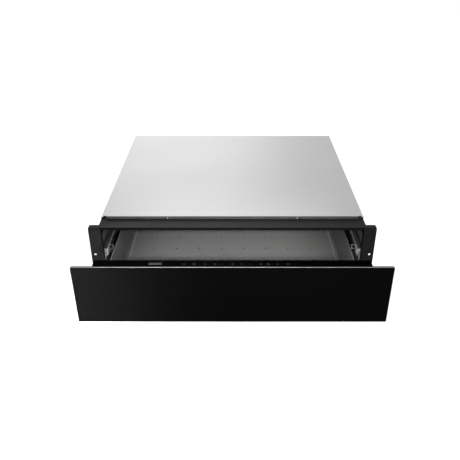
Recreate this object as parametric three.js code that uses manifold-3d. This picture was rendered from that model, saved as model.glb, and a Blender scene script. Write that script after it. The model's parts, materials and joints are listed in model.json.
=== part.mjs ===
// Built-in warming drawer: a sheet-steel housing with a black front frame, and a heated drawer
// with a glass front that runs on ball-bearing telescopic slides.
// Millimetres, +Z up, +X to the right, the glass faces -Y. The origin is the middle of the
// housing's underside. Depths below are counted from the front face of the frame, and the
// drawer's pieces are drawn closed: their group is pulled out by restOpening at the end.
import * as THREE from 'three';
import { mergeVertices } from 'three/addons/utils/BufferGeometryUtils.js';
import Module from 'manifold-3d';

const wasm = await Module();
wasm.setup();

// ---------------------------------------------------------------- driving dimensions
const seatGap = 0.3; // between pieces that touch
const passGap = 1; // between pieces that move past each other

// Front frame
const frameWidth = 595;
const frameHeight = 132;
const frameSheet = 1.2;
const frameDepth = 11; // depth of the edge that is turned back
const frameCorner = 3;
const earWidth = 25.5;
const earReach = 18.5; // the ears stand out this far from the housing
const lipHeight = 5.1; // face of the top and bottom rails
const channelDrop = 5.4; // the channel behind the top rail lies this much lower
const channelDepth = 34.5;
const channelFlange = 4.6; // upstand at the back of the channel, with the two screws
const channelBend = 1.3;
const channelCheek = 26; // height of the channel's cheeks inside the housing
const notchWidth = 7; // cut-outs near the ends of that upstand and of the cover's front edge
const notchHeight = 4;
const notchInset = 7; // from the side of the housing to the cut-out's middle
const earHole = 5;
const earHoleInset = 8.5; // side of the ear to the hole's middle
const screwHead = 4.2;
const screwDome = 1.6;
const screwShank = 1.8;
const screwLength = 4.5;
const screwSpacing = 276;
const tongueDepth = 22; // bottom flange that lies on the base

// Housing
const bodyDepth = 512; // frame face to the back of the housing
const coverDrop = 1; // top edge of the frame to the top of the cover
const bodySheet = 1;
const coverFlange = 12; // inward flanges of the body that carry the cover
const coverLip = 4.5; // turned-down front edge of the cover
const coverNotch = 5; // depth of the cut-outs in the cover's front edge
const flangeSetback = 10; // the flanges under the cover start behind them
const ventSlots = 9; // slots in each louvre field of the rear panel
const ventPitch = 8;
const ventWidth = 3;
const ventLength = 44;
const ventCentre = 59.5; // middle of the rear panel to the middle of a field

// Drawer front
const frontRise = 4.3; // underside of the housing to the lower edge of the glass
const frontOver = 0.5; // top edge of the frame to the upper edge of the glass
const frontThickness = 5;
const trimWall = 1;
const closedGap = 2.4; // glass to frame when closed
const boxInset = 11; // side of the frame's mouth to the drawer's front box
const boxDepth = 27;
const boxWall = 1.5;
const boxRise = 6.5; // underside of the housing to the underside of the drawer
const stripThickness = 2.2;
const displayWidth = 26;
const displayDepth = 8.5;
const displayThickness = 1.2;
const displayLedge = 1.6;
const displayLeft = 144; // middle of the display, left of the centre
const displayBack = 7.3; // back edge of the strip to the middle of the display
const boardThickness = 1.6;
const boardDrop = 6; // strip to circuit board
const boardMargin = 3; // circuit board to the front box
const boardPost = 5;
const boardPostHeight = 8;
const touchKeys = 12;
const touchFirst = -91;
const touchLast = 104;
const touchPad = 6;
const bumperDiameter = 10;
const bumperInset = 20;

// Tray
const trayDrop = 16.4; // top of the control strip to the tray's rim
const rearSpace = 34.5; // tray to rear panel, for the fan and the latches
const traySheet = 1;
const trayCorner = 8;
const floorRise = 13.5; // underside of the tray to the top of the floor plate
const floorBend = 4.5; // its edges are turned up along the walls
const floorFlange = 8; // height of those edges
const floorLeg = 1.2; // sheet of the legs it stands on
const floorLegInset = 5; // tray wall to the legs
const holeDiameter = 4.8;
const holeColumns = 8;
const holeRows = 8;
const holeMarginX = 57.5; // tray wall to the outer holes
const holeMarginY = 56;

// Heater
const insulationThickness = 3;
const insulationInset = 8; // tray wall to the board's edge
const heaterDiameter = 6;
const heaterPasses = 6;
const heaterMargin = 56; // tray wall to the outer passes
const heaterFront = 60; // tray wall to the bends
const heaterRear = 40;
const cutoutDiameter = 16;
const cutoutHeight = 6.5;
const cutoutBehind = 60; // middle of the tray to the cut-out
const sensorDiameter = 5;
const sensorLength = 26;
const clipWidth = 12;
const clipDepth = 8;
const clipSheet = 1.2;

// Fan
const fanRaise = 4.75; // middle of the tray's height to the fan's axis
const rotorDiameter = 66;
const rotorInner = 40;
const rotorDepth = 15;
const rotorSheet = 1.2;
const hubDiameter = 14;
const hubSetback = 4;
const bladeCount = 12;
const bladeSweep = 0.55; // radians from root to tip
const bladeSheet = 1;
const inletDiameter = 56;
const outletWidth = 33;
const fanCaseDepth = 27;
const fanWall = 1.2;
const fanClearance = 16; // rotor to the case
const motorDiameter = 38;
const motorDepth = 12;
const motorReach = 3; // motor stands out of the case
const shaftDiameter = 3;
const guardDiameter = 74;
const guardSheet = 1;
const guardRings = [[7, 12, 6], [15, 20, 6], [23, 28, 8]]; // radii of the openings and how many
const guardRib = 0.28; // rib between two openings, as a share of their pitch

// Slides
const slideHeight = 45;
const slideThickness = 12.7;
const slideSheet = 1;
const slideDrop = 6.75; // middle of the tray's height to the slide's middle
const slideInset = 7.5; // side of the frame's mouth to the slide
const slideFront = 27;
const slideRear = 32.7; // end of the slides to the rear panel
const middleSetback = 12; // ends of the middle member behind those of the outer one
const innerSetback = 8;
const ballDiameter = 3.2;
const ballGap = 0.3;
const ballOffset = 0.15; // middle of the slide to the outer balls
const ballStep = 1.4; // outer to inner balls
const bendCut = 1.5; // mitre of a member's bends
const cageSheet = 0.5;
const cageCut = 1.2;
const cageSlack = 0.1; // between a cage and the webs beside it, over the gaps
const cageWrap = 0.42; // how far a cage reaches past the middle of its balls, in ball diameters
const cageBalls = 5; // in each of a cage's two rows
const cagePitch = 29;
const outerCageSetback = 92;
const innerCageSetback = 147;
const slideHole = 5;
const slideHoles = [0.08, 0.5, 0.92]; // places of the holes, as shares of a member's length
const outerCurl = -0.1; // radians at which the races end
const innerCurl = -0.78 * Math.PI;
const hatWidth = 36; // crown of the spacer rail between slide and housing
const hatFoot = 7;
const hatSetback = 6;
const hatFront = 16.5; // frame to the rail's front plate
const hatRise = 18.3; // slide's middle to the plate's top
const hatSlotWidth = 2.4;
const hatSlotHeight = 18;
const carrierWidth = 14.8; // slide to tray
const carrierSheet = 1.5;
const carrierInset = 3; // slide edges to the carrier's edges
const carrierRise = 13; // tray rim to the carrier's inner edge

// Latches: a pawl swings into the notch of a striker on the back of the tray
const latchSpacing = 230;
const latchNear = 8; // striker's middle to the case's outer side
const latchFar = 17; // striker's middle to its inner side
const latchHeight = 20;
const latchDepth = 28;
const latchSlot = 4;
const latchWall = 2.5;
const latchFoot = 8;
const latchFootSheet = 2;
const strikerWidth = 8;
const strikerSheet = 2;
const strikerLength = 18.5;
const strikerNotch = 3.5;
const strikerFoot = 24;
const pawlSide = 9; // striker's middle to the pawl's pivot
const pawlBack = 12.4; // case's back to the pivot
const pawlReach = 12; // pivot to the front of the tooth
const pawlTooth = 3;
const pawlThickness = 3;
const pawlEye = 7;
const pawlPin = 3;
const pawlSwing = 24; // degrees from latched to open

// Supply
const boardWidth = 88;
const boardHeight = 64;
const boardInset = 82; // side wall to the power board's middle
const boardStand = 6; // rear panel to the power board
const glandDiameter = 16;
const glandBore = 9;
const glandNut = 22;
const glandCap = 20;
const glandRim = 3;
const glandNeck = 8;
const glandInset = 78; // side wall to the gland
const glandHeight = 34;
const terminalWidth = 40;
const terminalHeight = 18;
const terminalDepth = 14;
const terminalRise = 5; // gland to terminal block
const terminals = 3;
const terminalWell = 6; // screw wells in the front face
const terminalWellDepth = 4.9;
const terminalMouth = 6.7; // wire mouths in the underside
const terminalWall = 2.8;

// Motion
const restOpening = 133; // how far the drawer stands open as drawn

// ---------------------------------------------------------------- looks
function look(color, roughness, metalness) {
  return new THREE.MeshStandardMaterial({ color, roughness, metalness });
}

const galvanised = () => look(0xd9dadb, 0.45, 0.8);
const zinc = () => look(0xc4c6c8, 0.3, 1);
const blackPaint = () => look(0x26272a, 0.5, 0.2);
const blackPlastic = () => look(0x141416, 0.45, 0);
const stainless = () => look(0x8d8c89, 0.4, 0.9);

// ---------------------------------------------------------------- helpers
const AXES = {
  x: new THREE.Matrix4().makeBasis(
    new THREE.Vector3(0, 1, 0), new THREE.Vector3(0, 0, 1), new THREE.Vector3(1, 0, 0)),
  y: new THREE.Matrix4().makeBasis(
    new THREE.Vector3(1, 0, 0), new THREE.Vector3(0, 0, 1), new THREE.Vector3(0, -1, 0)),
  z: new THREE.Matrix4(),
};

function solidOf(geometry) {
  const bare = geometry.clone();
  bare.deleteAttribute('normal');
  bare.deleteAttribute('uv');
  const merged = mergeVertices(bare, 1e-4);
  return new wasm.Manifold(new wasm.Mesh({
    numProp: 3,
    vertProperties: merged.attributes.position.array,
    triVerts: new Uint32Array(merged.index.array),
  }));
}

function geometryOf(solid) {
  const mesh = solid.getMesh();
  const geometry = new THREE.BufferGeometry();
  geometry.setAttribute('position', new THREE.BufferAttribute(mesh.vertProperties, 3));
  geometry.setIndex(new THREE.BufferAttribute(mesh.triVerts, 1));
  geometry.computeVertexNormals();
  return geometry;
}

function mirrored(geometry) {
  const copy = geometry.clone().scale(-1, 1, 1);
  const index = copy.index.array;
  for (let i = 0; i < index.length; i += 3) {
    [index[i], index[i + 1]] = [index[i + 1], index[i]];
  }
  return copy;
}

function join(solids) {
  return solids.reduce((sum, solid) => sum.add(solid));
}

function block(x0, x1, y0, y1, z0, z1) {
  const geometry = new THREE.BoxGeometry(x1 - x0, y1 - y0, z1 - z0);
  geometry.translate((x0 + x1) / 2, (y0 + y1) / 2, (z0 + z1) / 2);
  return solidOf(geometry);
}

// A shape drawn in the plane square to an axis (y-z, x-z or x-y) and extruded between two places.
function extruded(shape, axis, from, to, curveSegments = 6) {
  const geometry = new THREE.ExtrudeGeometry(shape, {
    depth: to - from, bevelEnabled: false, curveSegments,
  });
  geometry.applyMatrix4(AXES[axis]);
  if (axis === 'x') geometry.translate(from, 0, 0);
  if (axis === 'y') geometry.translate(0, to, 0);
  if (axis === 'z') geometry.translate(0, 0, from);
  return solidOf(geometry);
}

// A round bar along an axis, its middle line at two coordinates in the plane square to it.
function rod(axis, diameter, a, b, from, to, sides = 16) {
  const shape = new THREE.Shape(arc(a, b, diameter / 2, 0, 2 * Math.PI, sides).slice(1));
  return extruded(shape, axis, from, to);
}

function arc(cx, cy, radius, start, end, steps) {
  const points = [];
  for (let i = 0; i <= steps; i++) {
    const angle = start + ((end - start) * i) / steps;
    points.push(new THREE.Vector2(cx + radius * Math.cos(angle), cy + radius * Math.sin(angle)));
  }
  return points;
}

function outlineOf(points) {
  return new THREE.Shape(points.map(([x, y]) => new THREE.Vector2(x, y)));
}

function rectangle(x0, x1, y0, y1, corner = 0, steps = 4) {
  if (corner <= 0) {
    return outlineOf([[x0, y0], [x1, y0], [x1, y1], [x0, y1]]);
  }
  return new THREE.Shape([
    ...arc(x1 - corner, y0 + corner, corner, -Math.PI / 2, 0, steps),
    ...arc(x1 - corner, y1 - corner, corner, 0, Math.PI / 2, steps),
    ...arc(x0 + corner, y1 - corner, corner, Math.PI / 2, Math.PI, steps),
    ...arc(x0 + corner, y0 + corner, corner, Math.PI, 1.5 * Math.PI, steps),
  ]);
}

// The outline of a bent sheet from its middle line, with mitred bends.
function bentSheet(line, thickness) {
  const points = line.map((p) => (p instanceof THREE.Vector2 ? p : new THREE.Vector2(p[0], p[1])));
  const sides = [[], []];
  points.forEach((point, i) => {
    const before = points[Math.max(i - 1, 0)];
    const after = points[Math.min(i + 1, points.length - 1)];
    const into = i > 0 ? point.clone().sub(before).normalize() : after.clone().sub(point).normalize();
    const out = i < points.length - 1 ? after.clone().sub(point).normalize() : into.clone();
    const tangent = into.clone().add(out).normalize();
    const reach = thickness / 2 / Math.max(tangent.dot(into), 0.3);
    const normal = new THREE.Vector2(-tangent.y, tangent.x).multiplyScalar(reach);
    sides[0].push(point.clone().add(normal));
    sides[1].push(point.clone().sub(normal));
  });
  return new THREE.Shape([...sides[1], ...sides[0].reverse()]);
}

// A path that is sampled at its own points only, so straights take one step and bends a few.
class PointPath extends THREE.Curve {
  constructor(points) {
    super();
    this.points = points;
  }

  getPoint(t) {
    const place = Math.min(Math.max(t, 0), 1) * (this.points.length - 1);
    const i = Math.min(Math.floor(place), this.points.length - 2);
    return this.points[i].clone().lerp(this.points[i + 1], place - i);
  }

  getPointAt(t) {
    return this.getPoint(t);
  }

  getTangentAt(t) {
    return this.getTangent(t);
  }
}

const product = new THREE.Group();
const housing = new THREE.Group();
const drawer = new THREE.Group();
const middles = new THREE.Group();
const outerCages = new THREE.Group();
const innerCages = new THREE.Group();
product.add(housing, drawer, middles, outerCages, innerCages);

function place(group, name, shape, material) {
  const mesh = new THREE.Mesh(shape instanceof THREE.BufferGeometry ? shape : geometryOf(shape), material);
  mesh.name = name;
  group.add(mesh);
  return mesh;
}

// A left piece, drawn at negative x, and its mirror image on the right.
function placePair(group, name, solid, material) {
  const left = geometryOf(solid);
  place(group, `${name}_left`, left, material());
  place(group, `${name}_right`, mirrored(left), material());
}

// ---------------------------------------------------------------- derived places
const bodyHalf = frameWidth / 2 - earReach;
const bodyHeight = frameHeight - coverDrop;
const wallInside = bodyHalf - bodySheet;
const openingHalf = frameWidth / 2 - earWidth;
const channelTop = frameHeight - channelDrop;
const channelBack = frameDepth + channelDepth;
const screwLevel = channelTop + seatGap + screwHead / 2;
const coverFront = channelBack + seatGap;
const rimFront = coverFront + bodySheet + seatGap; // just behind the cover's lip
const bodyBack = bodyDepth - bodySheet - seatGap; // the cover's rear edge laps over it
const rearFace = bodyBack - bodySheet; // inside of the rear panel
const rearSeat = rearFace - seatGap; // back of what is fixed to the rear panel
const flangeTop = bodyHeight - bodySheet - seatGap;

const frontHalf = frameWidth / 2; // the glass covers the frame
const frontTop = frameHeight + frontOver;
const glassBack = -closedGap;
const glassFront = glassBack - frontThickness;
const boxFront = glassBack + seatGap;
const boxBack = boxFront + boxDepth;
const boxTop = channelTop - frameSheet - passGap;
const stripBottom = boxTop - stripThickness;
const boxHalf = openingHalf - boxInset;

// Cross-sections are drawn for the left slide: u runs from the cabinet side to the drawer side and
// v up from the slide's middle. All three members are one sheet bent round two rows of balls.
const race = ballDiameter / 2 + ballGap + slideSheet / 2; // ball centre to a member's middle line
const outerFlange = slideHeight / 2 - slideSheet / 2;
const outerBall = { u: slideThickness / 2 - ballOffset, v: outerFlange - race };
const middleFlange = outerBall.v - race;
const innerBall = { u: outerBall.u + ballStep, v: middleFlange - race };
const innerFlange = innerBall.v - race;
const cageRoom = cageSheet + 2 * ballGap + cageSlack; // room for a cage between two webs
const outerWeb = slideSheet / 2;
const middleWeb = outerWeb + slideSheet + cageRoom;
const innerWeb = slideThickness - slideSheet / 2;
const slideOut = openingHalf - slideInset;
const slideEnd = rearFace - slideRear;
const memberSide = (u) => -slideOut + u;

const trayHalf = slideOut - slideThickness - carrierWidth - traySheet; // inside, like the next four
const trayFront = boxBack + seatGap + traySheet;
const trayBack = rearFace - rearSpace;
const trayRear = trayBack - traySheet;
const trayTop = boxTop - trayDrop;
const trayMiddle = (trayFront + trayRear) / 2;
const panTop = boxRise + traySheet;
const floorTop = boxRise + floorRise;
const insulationTop = panTop + seatGap + insulationThickness;
const heaterLevel = insulationTop + seatGap + heaterDiameter / 2;
const heaterPitch = (2 * (trayHalf - heaterMargin)) / (heaterPasses - 1);
const holePitchX = (2 * (trayHalf - holeMarginX)) / (holeColumns - 1);
const holePitchY = (trayRear - trayFront - 2 * holeMarginY) / (holeRows - 1);
const slideCentre = (boxRise + trayTop) / 2 - slideDrop;
const fanHeight = (boxRise + trayTop) / 2 + fanRaise;
const motorBack = trayBack + seatGap + fanCaseDepth + motorReach;
const rotorPlate = motorBack - motorDepth - passGap; // back of the rotor
const latchCentre = fanHeight;
const strikerX = -latchSpacing / 2; // left latch
const pivotX = strikerX + pawlSide;
const pivotY = rearSeat - pawlBack;
const glandCentre = wallInside - glandInset;

// ---------------------------------------------------------------- housing
function frontFrame() {
  const half = frameWidth / 2;
  const outline = rectangle(-half, half, 0, frameHeight, frameCorner);
  const mouth = rectangle(-openingHalf, openingHalf, lipHeight, frameHeight - lipHeight);
  const inside = rectangle(-half + frameSheet, half - frameSheet, frameSheet, frameHeight - frameSheet,
    frameCorner - frameSheet);
  const rim = rectangle(-openingHalf - frameSheet, openingHalf + frameSheet,
    lipHeight, frameHeight - lipHeight);
  const face = extruded(outline, 'y', 0, frameSheet).subtract(extruded(mouth, 'y', -1, frameSheet + 1));
  const edge = extruded(outline, 'y', 0, frameDepth).subtract(extruded(inside, 'y', -1, frameDepth + 1));
  const returns = extruded(rim, 'y', 0, frameDepth).subtract(extruded(mouth, 'y', -1, frameDepth + 1));
  const level = channelTop - frameSheet / 2;
  const leg = frameDepth - frameSheet / 2;
  const upstand = channelBack - frameSheet / 2;
  const channel = extruded(bentSheet([
    [leg, frameHeight - frameSheet / 2], [leg, level],
    ...arc(upstand - channelBend, level + channelBend, channelBend, -Math.PI / 2, 0, 3),
    [upstand, level + channelFlange],
  ], frameSheet), 'x', -bodyHalf, bodyHalf);
  const tongueTop = bodySheet + seatGap + frameSheet;
  const tongue = block(-openingHalf, openingHalf, frameDepth - frameSheet, frameDepth, 0, tongueTop)
    .add(block(-openingHalf, openingHalf, frameDepth - frameSheet, frameDepth + tongueDepth,
      tongueTop - frameSheet, tongueTop));
  const pieces = [face, edge, returns, channel, tongue];
  for (const side of [-1, 1]) {
    const outer = side * (wallInside - seatGap);
    const inner = outer - side * frameSheet;
    pieces.push(block(Math.min(outer, inner), Math.max(outer, inner), frameDepth + seatGap,
      channelBack - frameSheet, channelTop - channelCheek, channelTop - frameSheet / 2));
  }
  let frame = join(pieces);
  for (const side of [-1, 1]) {
    const notch = side * (bodyHalf - notchInset);
    frame = frame.subtract(block(notch - notchWidth / 2, notch + notchWidth / 2, channelBack - 2 * frameSheet,
      channelBack + 1, channelTop + channelFlange - notchHeight, frameHeight + 1));
    frame = frame.subtract(rod('y', earHole, side * (half - earHoleInset), frameHeight / 2,
      -1, frameSheet + 1));
  }
  return drilledForScrews(frame);
}

// Clears the shanks of the two screws that hold the frame's upstand to the cover's lip.
function drilledForScrews(solid) {
  let drilled = solid;
  for (const side of [-1, 1]) {
    drilled = drilled.subtract(rod('y', screwShank + 3 * seatGap, (side * screwSpacing) / 2, screwLevel,
      channelBack - 2 * frameSheet, rimFront + 1, 10));
  }
  return drilled;
}

function frameScrew(x) {
  const front = channelBack - frameSheet - seatGap;
  const head = screwHead / 2;
  const shank = screwShank / 2;
  const profile = [
    [0, -screwDome], [head * 0.6, -screwDome], [head, -screwDome / 4], [head, 0],
    [shank, 0], [shank, screwLength], [0, screwLength],
  ];
  const lathe = new THREE.LatheGeometry(profile.map(([r, h]) => new THREE.Vector2(r, h)), 12);
  lathe.translate(x, front, screwLevel);
  return solidOf(lathe);
}

function housingBody() {
  const flangeFront = rimFront + flangeSetback;
  const underChannel = channelTop - frameSheet - seatGap;
  const wall = outlineOf([
    [frameDepth + seatGap, 0], [bodyBack, 0], [bodyBack, flangeTop], [flangeFront, flangeTop],
    [flangeFront, underChannel], [frameDepth + seatGap, underChannel],
  ]);
  const pieces = [block(-bodyHalf, bodyHalf, frameDepth + seatGap, bodyBack, 0, bodySheet)];
  for (const side of [-1, 1]) {
    const outer = side * bodyHalf;
    const sheet = side * wallInside;
    const rim = side * (bodyHalf - coverFlange);
    pieces.push(extruded(wall, 'x', Math.min(outer, sheet), Math.max(outer, sheet)));
    pieces.push(block(Math.min(outer, rim), Math.max(outer, rim), flangeFront, bodyBack,
      flangeTop - bodySheet, flangeTop));
  }
  return join(pieces);
}

function topCover() {
  const middle = bodyHeight - bodySheet / 2;
  const front = coverFront + bodySheet / 2;
  const back = bodyDepth - bodySheet / 2;
  let cover = extruded(bentSheet([
    [front, bodyHeight - coverLip], [front, middle], [back, middle], [back, bodyHeight - coverFlange],
  ], bodySheet), 'x', -bodyHalf, bodyHalf);
  for (const side of [-1, 1]) {
    const notch = side * (bodyHalf - notchInset);
    cover = cover.subtract(block(notch - notchWidth / 2, notch + notchWidth / 2, coverFront - 1,
      coverFront + coverNotch, bodyHeight - coverLip - 1, bodyHeight + 1));
  }
  return drilledForScrews(cover);
}

function rearPanel() {
  const half = wallInside - seatGap;
  let panel = block(-half, half, rearFace, bodyBack, bodySheet + seatGap, flangeTop - bodySheet - seatGap);
  for (const side of [-1, 1]) {
    for (let i = 0; i < ventSlots; i++) {
      const z = bodyHeight / 2 + (i - (ventSlots - 1) / 2) * ventPitch;
      const x = side * ventCentre;
      const slot = rectangle(x - ventLength / 2, x + ventLength / 2, z - ventWidth / 2, z + ventWidth / 2,
        ventWidth / 3, 1);
      panel = panel.subtract(extruded(slot, 'y', rearFace - 1, bodyBack + 1));
    }
  }
  return panel.subtract(rod('y', glandDiameter, glandCentre, glandHeight, rearFace - 1, bodyBack + 1, 20));
}

function cableGland() {
  const neck = glandDiameter - 2 * seatGap;
  const outer = bodyBack + seatGap;
  const nut = rod('y', glandNut, glandCentre, glandHeight, rearSeat - glandRim, rearSeat, 6);
  const cap = rod('y', glandCap, glandCentre, glandHeight, outer, outer + glandRim, 20);
  const inner = rearSeat - glandNeck;
  const end = outer + glandNeck - 1;
  return join([nut, cap, rod('y', neck, glandCentre, glandHeight, inner, end, 20)])
    .subtract(rod('y', glandBore, glandCentre, glandHeight, inner - 1, end + 1, 16));
}

function terminalBlock() {
  const front = rearSeat - terminalDepth;
  const left = glandCentre - terminalWidth / 2;
  const low = glandHeight + glandDiameter / 2 + terminalRise;
  let moulding = block(left, left + terminalWidth, front, rearSeat, low, low + terminalHeight);
  const pitch = terminalWidth / terminals;
  for (let i = 0; i < terminals; i++) {
    const x = left + pitch * (i + 0.5);
    moulding = moulding.subtract(rod('y', terminalWell, x, low + terminalHeight - terminalWell,
      front - 1, front + terminalWellDepth, 12));
    moulding = moulding.subtract(block(x - terminalMouth / 2, x + terminalMouth / 2, front + terminalWall,
      rearSeat - terminalWall, low - 1, low + terminalMouth));
  }
  return moulding;
}

// Transformer, relays, fuse and two capacitors: left, right, low and high edges and height, each
// as a share of the board's width, or of its height for the edges along it.
const BOARD_BLOCKS = [
  [0.14, 0.46, 0.19, 0.69, 0.23], [0.55, 0.73, 0.16, 0.44, 0.17], [0.77, 0.93, 0.16, 0.44, 0.17],
  [0.55, 0.89, 0.56, 0.66, 0.1],
];
const BOARD_CAPACITORS = [[0.59, 0.81, 0.1, 0.16], [0.75, 0.81, 0.1, 0.16]]; // middle, diameter, height

function powerBoard() {
  const face = rearSeat - boardStand;
  const front = face - boardThickness;
  const x0 = -wallInside + boardInset - boardWidth / 2;
  const z0 = (bodyHeight - boardHeight) / 2;
  const pieces = [block(x0, x0 + boardWidth, front, face, z0, z0 + boardHeight)];
  for (const x of [x0 + boardPost, x0 + boardWidth - boardPost]) {
    for (const z of [z0 + boardPost, z0 + boardHeight - boardPost]) {
      pieces.push(rod('y', boardPost, x, z, face - boardThickness / 2, rearSeat, 8));
    }
  }
  for (const [u0, u1, w0, w1, height] of BOARD_BLOCKS) {
    pieces.push(block(x0 + u0 * boardWidth, x0 + u1 * boardWidth, front - height * boardWidth,
      front + boardThickness / 2, z0 + w0 * boardHeight, z0 + w1 * boardHeight));
  }
  for (const [u, w, diameter, height] of BOARD_CAPACITORS) {
    pieces.push(rod('y', diameter * boardWidth, x0 + u * boardWidth, z0 + w * boardHeight,
      front - height * boardWidth, front + boardThickness / 2, 12));
  }
  return join(pieces);
}

// The case of a latch, with a slot for the striker and the room in which the pawl swings.
function latchBody() {
  const left = strikerX - latchNear;
  const right = strikerX + latchFar;
  const front = rearSeat - latchDepth;
  const low = latchCentre - latchSlot / 2;
  const high = latchCentre + latchSlot / 2;
  const end = rectangle(left, right, latchCentre - latchHeight / 2, latchCentre + latchHeight / 2, latchWall);
  const shell = extruded(end, 'y', front, rearSeat);
  const foot = block(left - latchFoot, right + latchFoot, rearSeat - latchFootSheet, rearSeat,
    latchCentre - latchHeight / 3, latchCentre + latchHeight / 3);
  const room = block(strikerX - strikerWidth / 2 - 2 * seatGap, right - latchWall, front - 1,
    pivotY + pawlEye / 2 + passGap / 2, low, high);
  const pin = rod('z', pawlPin, pivotX, pivotY, low - 1, high + 1, 12);
  return shell.add(foot).subtract(room).add(pin);
}

// The pawl is drawn latched and then turned open, as it stands while the drawer is out.
function latchPawl() {
  const swing = THREE.MathUtils.degToRad(pawlSwing);
  const turned = (points) => outlineOf(points.map(([x, y]) => [
    pivotX + x * Math.cos(swing) - y * Math.sin(swing), pivotY + x * Math.sin(swing) + y * Math.cos(swing)]));
  const low = latchCentre - pawlThickness / 2;
  const high = latchCentre + pawlThickness / 2;
  const eye = pawlEye / 2;
  const inner = strikerWidth / 2 - strikerNotch + seatGap + passGap / 5 - pawlSide; // tip of the tooth
  const arm = turned([[-eye, 0], [-eye, -pawlReach], [0, -pawlReach], [eye * 0.9, -1]]);
  const tooth = turned([[inner + 1, -pawlReach], [1 - eye, -pawlReach], [1 - eye, pawlTooth - pawlReach],
    [inner, pawlTooth - pawlReach], [inner, 1 - pawlReach]]);
  return rod('z', pawlEye, pivotX, pivotY, low, high, 20)
    .add(extruded(arm, 'z', low, high))
    .add(extruded(tooth, 'z', low, high))
    .subtract(rod('z', pawlPin + 2 * seatGap, pivotX, pivotY, low - 1, high + 1, 16));
}

function latchStriker() {
  const back = trayBack + seatGap;
  const tip = back + strikerLength;
  const half = strikerWidth / 2;
  const neck = half - strikerNotch;
  const notchFront = pivotY - pawlReach - strikerNotch;
  const notchBack = pivotY - pawlReach + pawlTooth + passGap / 2;
  const blade = outlineOf([
    [-half, back], [half, back], [half, notchFront], [neck, notchFront], [neck, notchBack], [half, notchBack],
    [half, tip - half / 2], [half / 2, tip], [-half / 2, tip], [-half, tip - half / 2],
  ].map(([x, y]) => [strikerX + x, y]));
  return extruded(blade, 'z', latchCentre - strikerSheet / 2, latchCentre + strikerSheet / 2)
    .add(block(strikerX - strikerFoot / 2, strikerX + strikerFoot / 2, back, back + clipSheet,
      latchCentre - strikerWidth, latchCentre + strikerWidth));
}

// ---------------------------------------------------------------- slides
function member(halfLine) {
  const upper = halfLine.map(([u, v]) => new THREE.Vector2(memberSide(u), slideCentre + v));
  const lower = halfLine.map(([u, v]) => new THREE.Vector2(memberSide(u), slideCentre - v)).reverse();
  return bentSheet([...lower, ...upper], slideSheet);
}

function curl(ball, start, end) {
  return arc(ball.u, ball.v, race, start, end, 5).map((p) => [p.x, p.y]);
}

function withHoles(solid, u, from, to) {
  let drilled = solid;
  for (const share of slideHoles) {
    const y = from + (to - from) * share;
    drilled = drilled.subtract(rod('x', slideHole, y, slideCentre, memberSide(u) - slideSheet,
      memberSide(u) + slideSheet, 12));
  }
  return drilled;
}

function outerMember() {
  const line = [[outerWeb, outerFlange - bendCut], [outerWeb + bendCut, outerFlange],
    ...curl(outerBall, Math.PI / 2, outerCurl)];
  return withHoles(extruded(member(line), 'y', slideFront, slideEnd), outerWeb, slideFront, slideEnd);
}

function middleMember() {
  const line = [[middleWeb, middleFlange - bendCut], [middleWeb + bendCut, middleFlange],
    ...curl(innerBall, Math.PI / 2, 0)];
  return extruded(member(line), 'y', slideFront + middleSetback, slideEnd - 2 * middleSetback);
}

function innerMember() {
  const line = [[innerWeb, innerFlange - bendCut], [innerWeb - bendCut, innerFlange],
    ...curl(innerBall, -Math.PI / 2, innerCurl)];
  const start = slideFront + innerSetback;
  const end = slideEnd - innerSetback;
  return withHoles(extruded(member(line), 'y', start, end), innerWeb, start, end);
}

function ballCage(web, ball, start) {
  const end = start + cageBalls * cagePitch;
  const reach = ball.u + ballDiameter * cageWrap;
  const line = [[web, ball.v - cageCut], [web + cageCut, ball.v], [reach, ball.v]];
  const upper = line.map(([u, v]) => new THREE.Vector2(memberSide(u), slideCentre + v));
  const lower = line.map(([u, v]) => new THREE.Vector2(memberSide(u), slideCentre - v)).reverse();
  const pieces = [extruded(bentSheet([...lower, ...upper], cageSheet), 'y', start, end)];
  for (let i = 0; i < cageBalls; i++) {
    for (const side of [-1, 1]) {
      const sphere = new THREE.SphereGeometry(ballDiameter / 2, 6, 4);
      sphere.translate(memberSide(ball.u), start + cagePitch * (i + 0.5), slideCentre + side * ball.v);
      pieces.push(solidOf(sphere));
    }
  }
  return join(pieces);
}

// A hat-shaped rail that holds the slide off the housing wall, inside the frame's mouth. A slotted
// plate closes its front end.
function spacerRail() {
  const footLine = -(wallInside - seatGap - bodySheet / 2);
  const crownLine = -(slideOut + seatGap + bodySheet / 2);
  const up = hatWidth / 2;
  const middle = (footLine + crownLine) / 2;
  const hat = extruded(bentSheet([
    [footLine, slideCentre - up - hatFoot], [footLine, slideCentre - up], [crownLine, slideCentre - up],
    [crownLine, slideCentre + up], [footLine, slideCentre + up], [footLine, slideCentre + up + hatFoot],
  ], bodySheet), 'y', hatFront, slideEnd - hatSetback);
  const plate = block(footLine, crownLine + bodySheet / 2, hatFront, hatFront + bodySheet,
    slideCentre - hatRise, slideCentre + hatRise);
  const slot = block(middle, middle + hatSlotWidth, hatFront - 1, hatFront + bodySheet + 1,
    slideCentre - hatSlotHeight / 2, slideCentre + hatSlotHeight / 2);
  return hat.add(plate).subtract(slot);
}

// ---------------------------------------------------------------- drawer
function frontTrim() {
  return extruded(rectangle(-frontHalf, frontHalf, frontRise, frontTop), 'y', glassFront, glassBack)
    .subtract(extruded(rectangle(-frontHalf + trimWall, frontHalf - trimWall, frontRise + trimWall,
      frontTop - trimWall), 'y', glassFront - 1, glassBack + 1));
}

function glassPanel() {
  const inset = trimWall + seatGap;
  return extruded(rectangle(-frontHalf + inset, frontHalf - inset, frontRise + inset, frontTop - inset),
    'y', glassFront, glassBack);
}

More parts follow.
